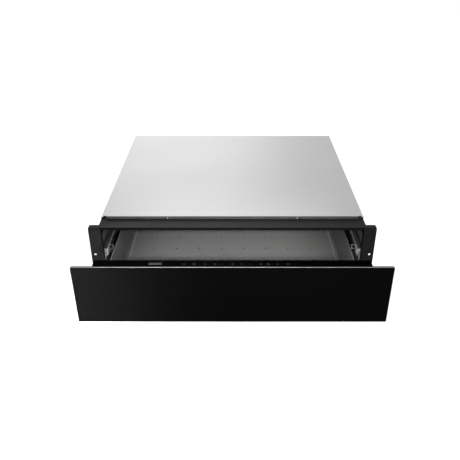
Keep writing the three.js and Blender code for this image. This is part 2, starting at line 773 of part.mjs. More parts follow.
function frontBox() {
  return block(-boxHalf, boxHalf, boxFront, boxBack, boxRise, stripBottom - seatGap)
    .subtract(block(-boxHalf + boxWall, boxHalf - boxWall, boxFront - 1, boxBack - boxWall,
      boxRise + boxWall, boxTop));
}

function displayPocket(grow, z0, z1) {
  const y = boxBack - displayBack;
  return block(-displayLeft - displayWidth / 2 - grow, -displayLeft + displayWidth / 2 + grow,
    y - displayDepth / 2 - grow, y + displayDepth / 2 + grow, z0, z1);
}

function controlStrip() {
  const round = stripThickness / 2;
  const outline = new THREE.Shape([
    new THREE.Vector2(boxFront, stripBottom), new THREE.Vector2(boxBack, stripBottom),
    ...arc(boxBack - round, boxTop - round, round, 0, Math.PI / 2, 4), new THREE.Vector2(boxFront, boxTop),
  ]);
  return extruded(outline, 'x', -boxHalf, boxHalf)
    .subtract(displayPocket(seatGap, boxTop - displayThickness - seatGap, boxTop + 1))
    .subtract(displayPocket(-displayLedge, stripBottom - 1, boxTop + 1));
}

function controlBoard() {
  const top = stripBottom - boardDrop;
  const left = -displayLeft - displayWidth;
  const right = touchLast + displayWidth / 2;
  const y0 = boxFront + boardMargin;
  const y1 = boxBack - boxWall - boardMargin / 2;
  const pieces = [block(left, right, y0, y1, top - boardThickness, top)];
  pieces.push(displayPocket(-displayLedge, top - boardThickness / 2, stripBottom - seatGap));
  for (let i = 0; i < touchKeys; i++) {
    const x = touchFirst + ((touchLast - touchFirst) * i) / (touchKeys - 1);
    pieces.push(rod('z', touchPad, x, (y0 + y1) / 2, top - boardThickness / 2, stripBottom - seatGap, 8));
  }
  for (const x of [left + boardPost, (left + right) / 2, right - boardPost]) {
    pieces.push(rod('z', boardPost, x, y1 - boardPost / 2, top - boardThickness - boardPostHeight,
      top - boardThickness / 2, 8));
  }
  return join(pieces);
}

function tray() {
  const outer = rectangle(-trayHalf - traySheet, trayHalf + traySheet, trayFront - traySheet, trayBack,
    trayCorner + traySheet);
  const inner = rectangle(-trayHalf, trayHalf, trayFront, trayRear, trayCorner);
  return extruded(outer, 'z', boxRise, trayTop)
    .subtract(extruded(inner, 'z', panTop, trayTop + 1))
    .subtract(rod('y', inletDiameter, 0, fanHeight, trayRear - 1, trayBack + 1, 24))
    .subtract(block(outletWidth / 5, outletWidth * 1.2, trayRear - 1, trayBack + 1, panTop + 2 * traySheet,
      floorTop - 3 * traySheet));
}

function floorPlate() {
  const side = trayHalf - seatGap - traySheet / 2;
  const level = floorTop - traySheet / 2;
  const front = trayFront + trayCorner;
  const rear = trayRear - trayCorner;
  let plate = extruded(bentSheet([
    [-side, level + floorFlange],
    ...arc(-side + floorBend, level + floorBend, floorBend, -Math.PI, -Math.PI / 2, 4),
    ...arc(side - floorBend, level + floorBend, floorBend, -Math.PI / 2, 0, 4),
    [side, level + floorFlange],
  ], traySheet), 'y', front, rear);
  for (const place of [floorLegInset - trayHalf, trayHalf - floorLegInset - floorLeg]) {
    plate = plate.add(block(place, place + floorLeg, front, rear, panTop + seatGap, level));
  }
  for (let row = 0; row < holeRows; row++) {
    const y = trayMiddle + (row - (holeRows - 1) / 2) * holePitchY;
    const drills = [];
    for (let column = 0; column < holeColumns; column++) {
      const x = (column - (holeColumns - 1) / 2) * holePitchX;
      drills.push(rod('z', holeDiameter, x, y, floorTop - traySheet - 1, floorTop + 1, 6));
    }
    plate = plate.subtract(join(drills));
  }
  return plate;
}

function insulationBoard() {
  const half = trayHalf - insulationInset;
  return block(-half, half, trayFront + trayCorner, trayRear - trayCorner, panTop + seatGap, insulationTop);
}

function heatingElement() {
  const near = trayFront + heaterFront;
  const far = trayRear - heaterRear;
  const bend = heaterPitch / 2;
  const points = [];
  for (let i = 0; i < heaterPasses; i++) {
    const x = (i - (heaterPasses - 1) / 2) * heaterPitch;
    const forward = i % 2 === 0;
    points.push([x, forward ? far : near + bend]);
    points.push([x, forward ? near + bend : far - bend * (i < heaterPasses - 1 ? 1 : 0)]);
    if (i === heaterPasses - 1) continue;
    const centre = forward ? near + bend : far - bend;
    const turn = arc(x + bend, centre, bend, Math.PI, forward ? 2 * Math.PI : 0, 8);
    points.push(...turn.slice(1, -1).map((p) => [p.x, p.y]));
    if (!forward) points.push([x + heaterPitch, far - bend]);
  }
  const clean = points.filter(([x, y], i) => i === 0
    || Math.hypot(x - points[i - 1][0], y - points[i - 1][1]) > 0.5);
  const path = new PointPath(clean.map(([x, y]) => new THREE.Vector3(x, y, heaterLevel)));
  const section = new THREE.Shape(arc(0, 0, heaterDiameter / 2, 0, 2 * Math.PI, 8).slice(1));
  return solidOf(new THREE.ExtrudeGeometry(section, {
    steps: clean.length - 1, extrudePath: path, bevelEnabled: false,
  }));
}

function clip(x, y, width) {
  const low = insulationTop + seatGap;
  return block(x - width / 2, x + width / 2, y - clipDepth / 2, y + clipDepth / 2,
    low, low + clipSheet);
}

function temperatureSensor() {
  const level = insulationTop + seatGap + sensorDiameter / 2;
  return rod('y', sensorDiameter, 0, level, trayMiddle - sensorLength / 2, trayMiddle + sensorLength / 2, 12)
    .add(clip(0, trayMiddle, clipWidth));
}

function thermalCutout() {
  const y = trayMiddle + cutoutBehind;
  const low = insulationTop + seatGap;
  return rod('z', cutoutDiameter, heaterPitch, y, low, low + cutoutHeight, 20)
    .add(clip(heaterPitch, y, cutoutDiameter + clipWidth));
}

function sideCarrier() {
  const outside = -(slideOut - slideThickness) + seatGap + carrierSheet / 2;
  const inside = -(trayHalf + traySheet + seatGap + carrierSheet / 2);
  const low = slideCentre - slideHeight / 2 + carrierInset + carrierSheet / 2;
  const high = slideCentre + slideHeight / 2 - carrierInset;
  const start = boxBack + seatGap;
  const channel = extruded(bentSheet([
    [outside, high], [outside, low], [inside, low], [inside, trayTop - carrierRise],
  ], carrierSheet), 'y', start, trayBack);
  const end = block(outside - carrierSheet / 2, inside + carrierSheet / 2, start, start + carrierSheet,
    low, high);
  return channel.add(end);
}

function fanCase() {
  const front = trayBack + seatGap;
  const back = front + fanCaseDepth;
  const full = rotorDiameter / 2 + fanClearance;
  const outer = rod('y', 2 * full, 0, fanHeight, front, back, 36);
  const inner = rod('y', 2 * (full - fanWall), 0, fanHeight, front - 1, back - fanWall, 36);
  const duct = block(0, full, front, back, panTop, fanHeight);
  const ductInner = block(fanWall, full - fanWall, front - 1, back - fanWall,
    panTop + fanWall, fanHeight + 1);
  return outer.add(duct).subtract(inner).subtract(ductInner)
    .subtract(rod('y', motorDiameter + 2 * seatGap, 0, fanHeight, back - fanWall - 1, back + 1, 28));
}

function fanMotor() {
  const front = motorBack - motorDepth;
  return rod('y', motorDiameter, 0, fanHeight, front, motorBack, 28)
    .subtract(rod('y', shaftDiameter + 2 * seatGap, 0, fanHeight, front - 1, motorBack - 2 * fanWall, 12));
}

function fanRotor() {
  const front = rotorPlate - rotorDepth;
  const middle = rotorSheet / 3;
  const pieces = [
    rod('y', rotorDiameter, 0, fanHeight, rotorPlate - rotorSheet, rotorPlate, 28),
    rod('y', hubDiameter, 0, fanHeight, front + hubSetback, rotorPlate - middle, 16),
    rod('y', shaftDiameter, 0, fanHeight, front + hubSetback, rotorPlate + motorDepth / 2, 10),
    rod('y', rotorDiameter, 0, fanHeight, front, front + rotorSheet, 28)
      .subtract(rod('y', rotorInner, 0, fanHeight, front - 1, front + rotorSheet + 1, 24)),
  ];
  const sweep = rotorDiameter / 2 - rotorInner / 2 - seatGap;
  for (let i = 0; i < bladeCount; i++) {
    const line = [0, 1, 2, 3].map((step) => {
      const share = step / 3;
      const radius = rotorInner / 2 + sweep * share;
      const angle = (2 * Math.PI * i) / bladeCount - bladeSweep * share * share;
      return [radius * Math.cos(angle), fanHeight + radius * Math.sin(angle)];
    });
    pieces.push(extruded(bentSheet(line, bladeSheet), 'y', front + middle, rotorPlate - middle));
  }
  return join(pieces);
}

function fanGuard() {
  const disc = new THREE.Shape(arc(0, fanHeight, guardDiameter / 2, 0, 2 * Math.PI, 36).slice(1));
  for (const [inner, outer, count] of guardRings) {
    for (let i = 0; i < count; i++) {
      const start = (2 * Math.PI * (i + guardRib / 2)) / count;
      const end = (2 * Math.PI * (i + 1 - guardRib / 2)) / count;
      disc.holes.push(new THREE.Path([
        ...arc(0, fanHeight, outer, start, end, 2), ...arc(0, fanHeight, inner, end, start, 2),
      ]));
    }
  }
  return extruded(disc, 'y', trayRear - seatGap - guardSheet, trayRear - seatGap);
}

function bumper(x, z) {
  return rod('y', bumperDiameter, x, z, glassBack + seatGap, -seatGap, 12);
}

// ---------------------------------------------------------------- assembly
place(housing, 'front_frame', frontFrame(), blackPaint());
place(housing, 'frame_screw_left', frameScrew(-screwSpacing / 2), zinc());
place(housing, 'frame_screw_right', frameScrew(screwSpacing / 2), zinc());
place(housing, 'housing_body', housingBody(), galvanised());
place(housing, 'top_cover', topCover(), galvanised());
place(housing, 'rear_panel', rearPanel(), galvanised());
place(housing, 'cable_gland', cableGland(), blackPlastic());
place(housing, 'terminal_block', terminalBlock(), look(0xe6e2d6, 0.6, 0));
place(housing, 'power_board', powerBoard(), look(0x2f6b3c, 0.6, 0));
placePair(housing, 'spacer_rail', spacerRail(), galvanised);
placePair(housing, 'slide_outer', outerMember(), zinc);
placePair(housing, 'latch_body', latchBody(), blackPlastic);
placePair(housing, 'latch_pawl', latchPawl(), () => look(0xb9bcc0, 0.5, 0));
placePair(middles, 'slide_middle', middleMember(), zinc);
const webStep = middleWeb - outerWeb;
placePair(outerCages, 'outer_ball_cage',
  ballCage(outerWeb + webStep / 2, outerBall, slideFront + outerCageSetback), zinc);
placePair(innerCages, 'inner_ball_cage',
  ballCage(middleWeb + webStep / 2, innerBall, slideFront + innerCageSetback), zinc);

place(drawer, 'front_glass', glassPanel(), look(0x0b0b0d, 0.08, 0));
place(drawer, 'front_trim', frontTrim(), look(0xb4b6b8, 0.35, 1));
place(drawer, 'front_box', frontBox(), blackPaint());
place(drawer, 'control_strip', controlStrip(), look(0x060607, 0.15, 0));
place(drawer, 'display_window', displayPocket(0, boxTop - displayThickness, boxTop),
  look(0x4a4c4f, 0.2, 0));
place(drawer, 'control_board', controlBoard(), look(0x2f6b3c, 0.6, 0));
place(drawer, 'tray', tray(), stainless());
place(drawer, 'floor_plate', floorPlate(), stainless());
place(drawer, 'insulation_board', insulationBoard(), look(0xd8d3c4, 0.9, 0));
place(drawer, 'heating_element', heatingElement(), look(0x55575a, 0.5, 0.9));
place(drawer, 'temperature_sensor', temperatureSensor(), zinc());
place(drawer, 'thermal_cutout', thermalCutout(), blackPlastic());
placePair(drawer, 'side_carrier', sideCarrier(), blackPaint);
placePair(drawer, 'slide_inner', innerMember(), zinc);
placePair(drawer, 'latch_striker', latchStriker(), zinc);
place(drawer, 'fan_guard', fanGuard(), stainless());
place(drawer, 'fan_case', fanCase(), galvanised());
place(drawer, 'fan_motor', fanMotor(), blackPlastic());
place(drawer, 'fan_rotor', fanRotor(), look(0x9b9da0, 0.4, 0.9));
for (const [level, z] of [['low', frontRise + bumperInset], ['high', frontTop - bumperInset]]) {
  placePair(drawer, `bumper_${level}`, bumper(-frontHalf + earWidth / 2, z), () => look(0x1a1a1b, 0.9, 0));
}

drawer.position.y = -restOpening;
middles.position.y = -restOpening / 2;
outerCages.position.y = -restOpening / 4;
innerCages.position.y = (-restOpening * 3) / 4;
product.position.y = -(frameDepth + seatGap + bodyBack) / 2;
product.updateMatrixWorld(true);

export default product;
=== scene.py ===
"""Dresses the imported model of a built-in warming drawer: finishes, edges, fasteners and printed marks.

Everything is in metres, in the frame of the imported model: +X to the right, +Y to the rear, +Z up, the origin
in the middle of the housing's underside.
"""

import json
import math

import bmesh
import bpy
from bpy.props import FloatProperty, FloatVectorProperty, PointerProperty
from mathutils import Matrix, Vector


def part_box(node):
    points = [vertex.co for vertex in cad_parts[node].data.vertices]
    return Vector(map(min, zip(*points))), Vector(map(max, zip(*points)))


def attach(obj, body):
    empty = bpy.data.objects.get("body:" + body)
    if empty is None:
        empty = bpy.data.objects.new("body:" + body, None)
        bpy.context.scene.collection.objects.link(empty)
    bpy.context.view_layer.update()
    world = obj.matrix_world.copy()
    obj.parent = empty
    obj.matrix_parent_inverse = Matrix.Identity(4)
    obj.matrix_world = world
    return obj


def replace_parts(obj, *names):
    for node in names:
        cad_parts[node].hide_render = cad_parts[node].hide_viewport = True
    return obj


bl_info = {
    "name": "Warming drawer",
    "version": (1, 0, 0),
    "blender": (4, 5, 0),
    "location": "View3D > Sidebar > Warming drawer",
    "description": "Finishes, fasteners and printed marks of a built-in warming drawer",
    "category": "Object",
}

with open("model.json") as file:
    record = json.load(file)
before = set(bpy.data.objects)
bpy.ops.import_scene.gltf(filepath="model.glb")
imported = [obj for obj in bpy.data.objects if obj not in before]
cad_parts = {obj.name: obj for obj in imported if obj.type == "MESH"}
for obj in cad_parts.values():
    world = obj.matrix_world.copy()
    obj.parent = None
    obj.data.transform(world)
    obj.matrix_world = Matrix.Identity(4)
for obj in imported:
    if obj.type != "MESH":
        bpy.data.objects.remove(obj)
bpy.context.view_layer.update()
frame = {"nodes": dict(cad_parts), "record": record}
MM = 0.001
SKIN = 0.05 * MM  # height of a printed mark, and the gap between a made piece and what it lies on


# ---------------------------------------------------------------- colours and shader nodes
def linear(code):
    """An sRGB hex colour as linear red, green, blue and alpha."""
    channels = [int(code[i:i + 2], 16) / 255 for i in (1, 3, 5)]
    return tuple(c / 12.92 if c <= 0.04045 else ((c + 0.055) / 1.055) ** 2.4 for c in channels) + (1.0,)


def shades(colour, dark, light):
    """A colour times two factors: the dark and the light end of a pattern."""
    return [tuple(min(c * factor, 1.0) for c in colour[:3]) + (1.0,) for factor in (dark, light)]


def node(tree, kind, links=None, **settings):
    """A node with its settings; each entry of links is an input's value or the socket that feeds it."""
    made = tree.nodes.new(kind)
    for name, value in settings.items():
        setattr(made, name, value)
    for key, value in (links or {}).items():
        socket = made.inputs[key]
        if isinstance(value, bpy.types.NodeSocket):
            tree.links.new(value, socket)
        else:
            socket.default_value = value
    return made


def maths(tree, operation, *values):
    """One step of arithmetic on sockets and numbers."""
    return node(tree, "ShaderNodeMath", dict(enumerate(values)), operation=operation).outputs[0]


def mapped(tree, value, start, end, low, high):
    """Maps the values between start and end to those between low and high, and holds them outside."""
    return node(tree, "ShaderNodeMapRange", {
        "Value": value, "From Min": start, "From Max": end, "To Min": low, "To Max": high}).outputs["Result"]


def ramp(tree, factor, *stops):
    """A colour ramp through (place, colour) stops."""
    made = node(tree, "ShaderNodeValToRGB", {"Fac": factor})
    elements = made.color_ramp.elements
    while len(elements) < len(stops):
        elements.new(0.5)
    for element, (place, colour) in zip(elements, stops):
        element.position = place
        element.color = colour
    return made.outputs["Color"]


def blended(tree, factor, pattern, colour):
    """The pattern where the factor is 0 and the plain colour where it is 1."""
    made = node(tree, "ShaderNodeMix", {"Factor": factor}, data_type="RGBA")
    tree.links.new(pattern, made.inputs["A"])
    made.inputs["B"].default_value = colour
    return made.outputs["Result"]


def stretched(tree, place, size):
    """Object coordinates divided by a pattern's size in millimetres: one for all axes or one for each."""
    sizes = size if isinstance(size, tuple) else (size,) * 3
    scale = tuple(1 / (length * MM) for length in sizes)
    return node(tree, "ShaderNodeMapping", {"Vector": place, "Scale": scale}).outputs["Vector"]


def noise(tree, place, size, detail=2.0, roughness=0.5):
    """A noise pattern with grains of the given size in millimetres."""
    return node(tree, "ShaderNodeTexNoise", {
        "Vector": stretched(tree, place, size), "Scale": 1.0, "Detail": detail,
        "Roughness": roughness}).outputs["Fac"]


def mean(tree, first, second):
    """The mean of two patterns."""
    return maths(tree, "MULTIPLY", maths(tree, "ADD", first, second), 0.5)


# noise keeps mostly between these two values
NOISE_LOW, NOISE_HIGH = 0.3, 0.7


def spread(tree, pattern, low, high):
    """Maps a noise pattern to the values wanted."""
    return mapped(tree, pattern, NOISE_LOW, NOISE_HIGH, low, high)


def tinted(tree, pattern, dark, light):
    """Maps a noise pattern to the colours wanted."""
    return ramp(tree, pattern, (NOISE_LOW, dark), (NOISE_HIGH, light))


def surface(name, colour, metallic, roughness, **shader_values):
    """A material with one principled shader; returns it, its tree, its shader and object coordinates."""
    material = bpy.data.materials.new(name)
    material.use_nodes = True
    tree = material.node_tree
    shader = tree.nodes["Principled BSDF"]
    shader.inputs["Base Color"].default_value = colour
    shader.inputs["Metallic"].default_value = metallic
    shader.inputs["Roughness"].default_value = roughness
    for key, value in shader_values.items():
        shader.inputs[key.replace("_", " ")].default_value = value
    place = node(tree, "ShaderNodeTexCoord").outputs["Object"]
    return material, tree, shader, place


def feed(tree, shader, tint, gloss=None):
    """Links a pattern of colour to the shader, and one of roughness if there is one."""
    tree.links.new(tint, shader.inputs["Base Color"])
    if gloss is not None:
        tree.links.new(gloss, shader.inputs["Roughness"])


def soften(tree, shader, height=None, distance=0.0, edge=0.0):
    """Feeds the shader's normal: edges that look rounded, relief from a height pattern, or both."""
    normal = None
    if edge:
        normal = node(tree, "ShaderNodeBevel", {"Radius": edge}, samples=4).outputs["Normal"]
    if height is not None:
        links = {"Height": height, "Distance": distance, "Strength": 1.0}
        if normal:
            links["Normal"] = normal
        normal = node(tree, "ShaderNodeBump", links).outputs["Normal"]
    tree.links.new(normal, shader.inputs["Normal"])


# ---------------------------------------------------------------- what a user would change
def length(name, description, default, low, high):
    """A length for the panel, given in millimetres with its limits."""
    return FloatProperty(name=name, description=description, default=default * MM, min=low * MM,
                         max=high * MM, unit="LENGTH")


def shown_colour(name, description, code):
    """A colour for the panel, given as sRGB."""
    return FloatVectorProperty(name=name, description=description, subtype="COLOR", size=4,
                               default=linear(code), min=0, max=1)


class DrawerSizes(bpy.types.PropertyGroup):
    """Sizes of the pieces that this add-on makes."""
    glass_edge: length("Glass edge", "Ground edge round the glass front", 0.5, 0.1, 2)
    profile_wall: length("Profile wall", "Wall of the metal profile round the glass", 0.5, 0.3, 1.2)
    profile_share: FloatProperty(
        name="Profile depth", description="Share of the front's depth that the metal profile covers",
        default=0.3, min=0.2, max=1.0, subtype="FACTOR")
    glass_corner: length("Glass corner", "Corner radius of the glass front", 1.5, 0.5, 6)
    bend_radius: length("Bend radius", "Outer radius of the bends in the top cover", 1.8, 1.0, 3)
    screw_head: length("Screw head", "Diameter of the pan heads on the housing", 7.0, 3, 12)
    rivet_head: length("Rivet head", "Diameter of the rivet heads on the side walls", 6.0, 3, 12)
    strip_overhang: length("Strip overhang", "Depth of the rolled edge behind the control strip", 3.1, 2, 8)
    bead_width: length("Floor bead", "Width of the rolled beads along the tray floor", 1.6, 0.8, 3)
    symbol_size: length("Touch mark", "Height of the printed touch marks", 4.6, 2, 8)
    symbol_line: length("Mark line", "Line width of the printed touch marks", 0.55, 0.2, 1.5)


class DrawerColours(bpy.types.PropertyGroup):
    """Colours of the finishes, as the surface shows them."""
    zinc_coat: shown_colour("Zinc coat", "Galvanised sheet of the housing", "#cfcfcf")
    powder_coat: shown_colour("Powder coat", "Black paint of the front frame", "#252526")
    tray_steel: shown_colour("Tray steel", "Brushed stainless steel of the tray's floor plate", "#a9a9a8")
    # the tray's walls are a darker copy of the floor plate's steel: painted shade
    wall_steel_shaded: shown_colour("Tray walls", "Rolled stainless steel of the tray", "#8f8f8e")
    edge_metal: shown_colour("Edge profile", "Satin aluminium round the glass", "#929395")
    glass_black: shown_colour("Glass", "Black print behind the glass", "#040405")
    mark_grey: shown_colour("Touch marks", "Grey print of the touch marks", "#1f2021")


# ---------------------------------------------------------------- finishes
def galvanised_sheet(colour):
    """Hot-dip galvanised and skin-passed steel: pale satin, with a faint rolled line and cloudy sheen."""
    material, tree, shader, place = surface("galvanised_steel_sheet", colour, 0.3, 0.52)
    cloud = noise(tree, place, (120, 160, 120))
    rolled = noise(tree, place, (1.6, 140, 1.6), detail=3.0)
    both = mean(tree, cloud, rolled)
    feed(tree, shader, tinted(tree, both, *shades(colour, 0.965, 1.03)), spread(tree, both, 0.49, 0.56))
    soften(tree, shader, rolled, 0.004 * MM, edge=0.7 * MM)
    return material


# the painted highlight along the rail's inner side and front face ends, and the phosphate coat begins, between
# these distances from them
PAINTED_HIGHLIGHT_SIDE = (3.0 * MM, 3.2 * MM)
PAINTED_HIGHLIGHT_FRONT = (1.5 * MM, 1.7 * MM)


def phosphated_sheet():
    """Zinc-phosphated steel of the rails behind the slides: dull mid grey with a crystalline mottle.

    The front plate and the edge along the slide are painted near-white: painted highlights, the bright lines
    that those edges catch.
    """
    material, tree, shader, place = surface("phosphated_steel_sheet", linear("#77787a"), 0.2, 0.6)
    mottle = noise(tree, place, 4, detail=4.0, roughness=0.6)
    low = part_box("spacer_rail_right")[0]
    split = node(tree, "ShaderNodeSeparateXYZ", {"Vector": place}).outputs
    across = maths(tree, "ABSOLUTE", split["X"])
    side_highlight = mapped(tree, across, low.x + PAINTED_HIGHLIGHT_SIDE[0], low.x + PAINTED_HIGHLIGHT_SIDE[1], 1.0, 0.0)
    front_highlight = mapped(tree, split["Y"], low.y + PAINTED_HIGHLIGHT_FRONT[0], low.y + PAINTED_HIGHLIGHT_FRONT[1], 1.0, 0.0)
    coated = tinted(tree, mottle, linear("#6c6d6f"), linear("#838486"))
    # near-white by the inner side and the front face: painted highlight
    tint = blended(tree, maths(tree, "MAXIMUM", side_highlight, front_highlight), coated, linear("#f2f2f3"))
    feed(tree, shader, tint, spread(tree, mottle, 0.54, 0.68))
    soften(tree, shader, mottle, 0.01 * MM, edge=0.5 * MM)
    return material


def bright_zinc_plate(name="bright_zinc_plate", smoothest=0.15, roughest=0.26):
    """Electroplated and blue-passivated steel: bright, cool and slightly cloudy, drawn along the rail."""
    material, tree, shader, place = surface(name, linear("#c9ccd0"), 1.0, smoothest)
    drawn = noise(tree, place, (1.2, 60, 1.2), detail=3.0)
    feed(tree, shader, tinted(tree, drawn, linear("#b4b7bb"), linear("#dadde0")),
         spread(tree, drawn, smoothest, roughest))
    soften(tree, shader, drawn, 0.01 * MM, edge=0.3 * MM)
    return material


def black_powder_coat(colour):
    """Baked satin powder paint: even, very dark, with a fine orange-peel that breaks up highlights."""
    material, tree, shader, place = surface("satin_black_powder_coat", colour, 0.0, 0.48,
                                            Specular_IOR_Level=0.06)
    # real orange peel is 0.5 mm; drawn at 1.5 mm so that it shows
    peel = noise(tree, place, 1.5)
    handling = noise(tree, place, (70, 70, 40))
    feed(tree, shader, tinted(tree, handling, *shades(colour, 0.85, 1.15)),
         spread(tree, handling, 0.44, 0.54))
    soften(tree, shader, peel, 0.02 * MM, edge=0.6 * MM)
    return material


def brushed_stainless(colour):
    """Stainless sheet with a fine brushed line from front to back: warm grey, soft streaks of gloss."""
    material, tree, shader, place = surface("brushed_stainless_steel", colour, 0.35, 0.42)
    line = noise(tree, place, (0.8, 70, 0.8), detail=4.0, roughness=0.6)
    wear = noise(tree, place, 90)
    feed(tree, shader, tinted(tree, line, *shades(colour, 0.94, 1.05)),
         spread(tree, mean(tree, line, wear), 0.33, 0.50))
    soften(tree, shader, line, 0.006 * MM, edge=0.5 * MM)
    return material


def rolled_stainless(colour):
    """The tray, left as rolled: the same warm grey as its floor plate but more even, and darker as painted
    shade for the shade on its walls.
    """
    material, tree, shader, place = surface("rolled_stainless_steel_painted_shade", colour, 0.35, 0.5)
    cloud = noise(tree, place, 60, detail=3.0)
    feed(tree, shader, tinted(tree, cloud, *shades(colour, 0.93, 1.05)), spread(tree, cloud, 0.44, 0.58))
    soften(tree, shader, noise(tree, place, 1.2, detail=3.0), 0.006 * MM, edge=0.3 * MM)
    return material


def bead_painted_highlight():
    """Rolled and polished bead of the same stainless sheet, smoother than the brushed faces; its near-white
    colour is a painted highlight, a bright, thin line against the brushed faces.
    """
    material, tree, shader, place = surface("polished_stainless_bead_painted_highlight", linear("#e2e2e0"), 0.2, 0.35)
    line = noise(tree, place, (0.8, 40, 0.8))
    # near-white grey: painted highlight along the bead
    feed(tree, shader, tinted(tree, line, linear("#d6d6d4"), linear("#ebebe9")),
         spread(tree, line, 0.30, 0.42))
    return material


def black_glass(colour):
    """Toughened float glass printed black behind: deep black, mirror-smooth, with a faint wave."""
    material, tree, shader, place = surface("black_backed_glass", colour, 0.0, 0.05, IOR=1.5,
                                            Specular_IOR_Level=0.02)
    smear = noise(tree, place, (80, 80, 50), detail=3.0)
    feed(tree, shader, tinted(tree, smear, *shades(colour, 0.8, 1.0)), spread(tree, smear, 0.035, 0.075))
    soften(tree, shader, noise(tree, place, 120), 0.002 * MM)
    return material


def satin_aluminium(colour):
    """Extruded and anodised aluminium profile: pale satin, with a fine line along its length."""
    material, tree, shader, place = surface("satin_anodised_aluminium", colour, 1.0, 0.32)
    line = noise(tree, place, (50, 0.6, 0.6), detail=3.0)
    feed(tree, shader, tinted(tree, line, *shades(colour, 0.88, 1.08)), spread(tree, line, 0.26, 0.38))
    soften(tree, shader, line, 0.005 * MM)
    return material


def gloss_panel():
    """Black acrylic touch panel: gloss-moulded, deep black with the faintest haze from cleaning."""
    material, tree, shader, place = surface("gloss_black_acrylic", linear("#030304"), 0.0, 0.10, IOR=1.49,
                                            Specular_IOR_Level=0.001)
    haze = noise(tree, place, (40, 12, 12), detail=3.0)
    feed(tree, shader, tinted(tree, haze, linear("#020203"), linear("#040405")),
         spread(tree, haze, 0.08, 0.16))
    soften(tree, shader, edge=0.4 * MM)
    return material


LIT_BAR = (0.42, 0.52)  # the lit bar ends between these shares of the window's depth
LIT_HALF = (11.6 * MM, 12.0 * MM)  # and between these distances to each side of its middle


def smoked_window():
    """Smoked acrylic lens over the display: a grey lit bar towards the glass, black round it."""
    material, tree, shader, place = surface("smoked_acrylic_window", linear("#46484b"), 0.0, 0.12, IOR=1.49,
                                            Specular_IOR_Level=0.02)
    split = node(tree, "ShaderNodeSeparateXYZ", {"Vector": place}).outputs
    low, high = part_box("display_window")
    share = mapped(tree, split["Y"], low.y, high.y, 0.0, 1.0)
    bar = ramp(tree, share, (0.0, linear("#636363")), (LIT_BAR[0], linear("#5c5c5c")),
               (LIT_BAR[1], linear("#0d0d0e")), (1.0, linear("#060607")))
    aside = maths(tree, "ABSOLUTE", maths(tree, "SUBTRACT", split["X"], (low.x + high.x) / 2))
    tint = blended(tree, mapped(tree, aside, *LIT_HALF, 0.0, 1.0), bar, linear("#060607"))
    feed(tree, shader, tint, spread(tree, noise(tree, place, 8), 0.10, 0.18))
    return material


def moulded_plastic(name, dark, light, roughness, grain, shine=0.5):
    """Moulded engineering plastic, rubber or foam: matt, with a fine spark-eroded grain."""
    dark, light = linear(dark), linear(light)
    material, tree, shader, place = surface(name, dark, 0.0, roughness, IOR=1.5, Specular_IOR_Level=shine)
    texture = noise(tree, place, grain)
    feed(tree, shader, tinted(tree, texture, dark, light),
         spread(tree, texture, roughness - 0.05, roughness + 0.07))
    soften(tree, shader, texture, 0.03 * MM, edge=0.4 * MM)
    return material


def circuit_board():
    """Fibreglass board under green solder mask: glossy, with lighter copper tracks below the mask."""
    material, tree, shader, place = surface("green_solder_mask", linear("#1f5a2e"), 0.0, 0.32, IOR=1.5)
    tracks = node(tree, "ShaderNodeTexBrick", {
        "Vector": stretched(tree, place, 12), "Scale": 1.0, "Mortar Size": 0.06,
        "Color1": linear("#1c5229"), "Color2": linear("#22602f"), "Mortar": linear("#3f8a4c")})
    fibre = noise(tree, place, 3)
    feed(tree, shader, tracks.outputs["Color"], spread(tree, fibre, 0.27, 0.38))
    soften(tree, shader, fibre, 0.02 * MM)
    return material


def mineral_board():
    """Pressed mineral-fibre board, browned by heat: dark, dry and matt, with short fibres and small pits."""
    material, tree, shader, place = surface("pressed_mineral_board", linear("#3f3b35"), 0.0, 0.92,
                                            Specular_IOR_Level=0.1)
    fibre = noise(tree, place, (3, 9, 3), detail=5.0, roughness=0.7)
    feed(tree, shader, tinted(tree, fibre, linear("#33302b"), linear("#4a463f")))
    soften(tree, shader, fibre, 0.3 * MM)
    return material


def oxidised_sheath():
    """Annealed heater tube: dull grey-brown steel with heat-tinted bands."""
    material, tree, shader, place = surface("oxidised_heater_steel", linear("#5a5551"), 0.8, 0.5)
    tint = noise(tree, place, (25, 60, 25), detail=3.0)
    feed(tree, shader, tinted(tree, tint, linear("#46423f"), linear("#75695c")),
         spread(tree, tint, 0.42, 0.6))
    return material


def pressed_aluminium():
    """Pressed aluminium impeller: bright, soft and slightly grainy."""
    material, tree, shader, place = surface("pressed_aluminium", linear("#b4b6b9"), 1.0, 0.38)
    grain = noise(tree, place, 2, detail=3.0)
    feed(tree, shader, tinted(tree, grain, linear("#a2a4a7"), linear("#c4c6c9")),
         spread(tree, grain, 0.32, 0.46))
    return material


def printed_mark(colour):
    """Screen-printed ceramic ink: flat grey, rougher than the panel under it."""
    material, tree, shader, place = surface("printed_grey_ink", colour, 0.0, 0.5)
    feed(tree, shader, tinted(tree, noise(tree, place, 0.8), *shades(colour, 0.9, 1.0)))
    return material


SLOT_FINISH = {}


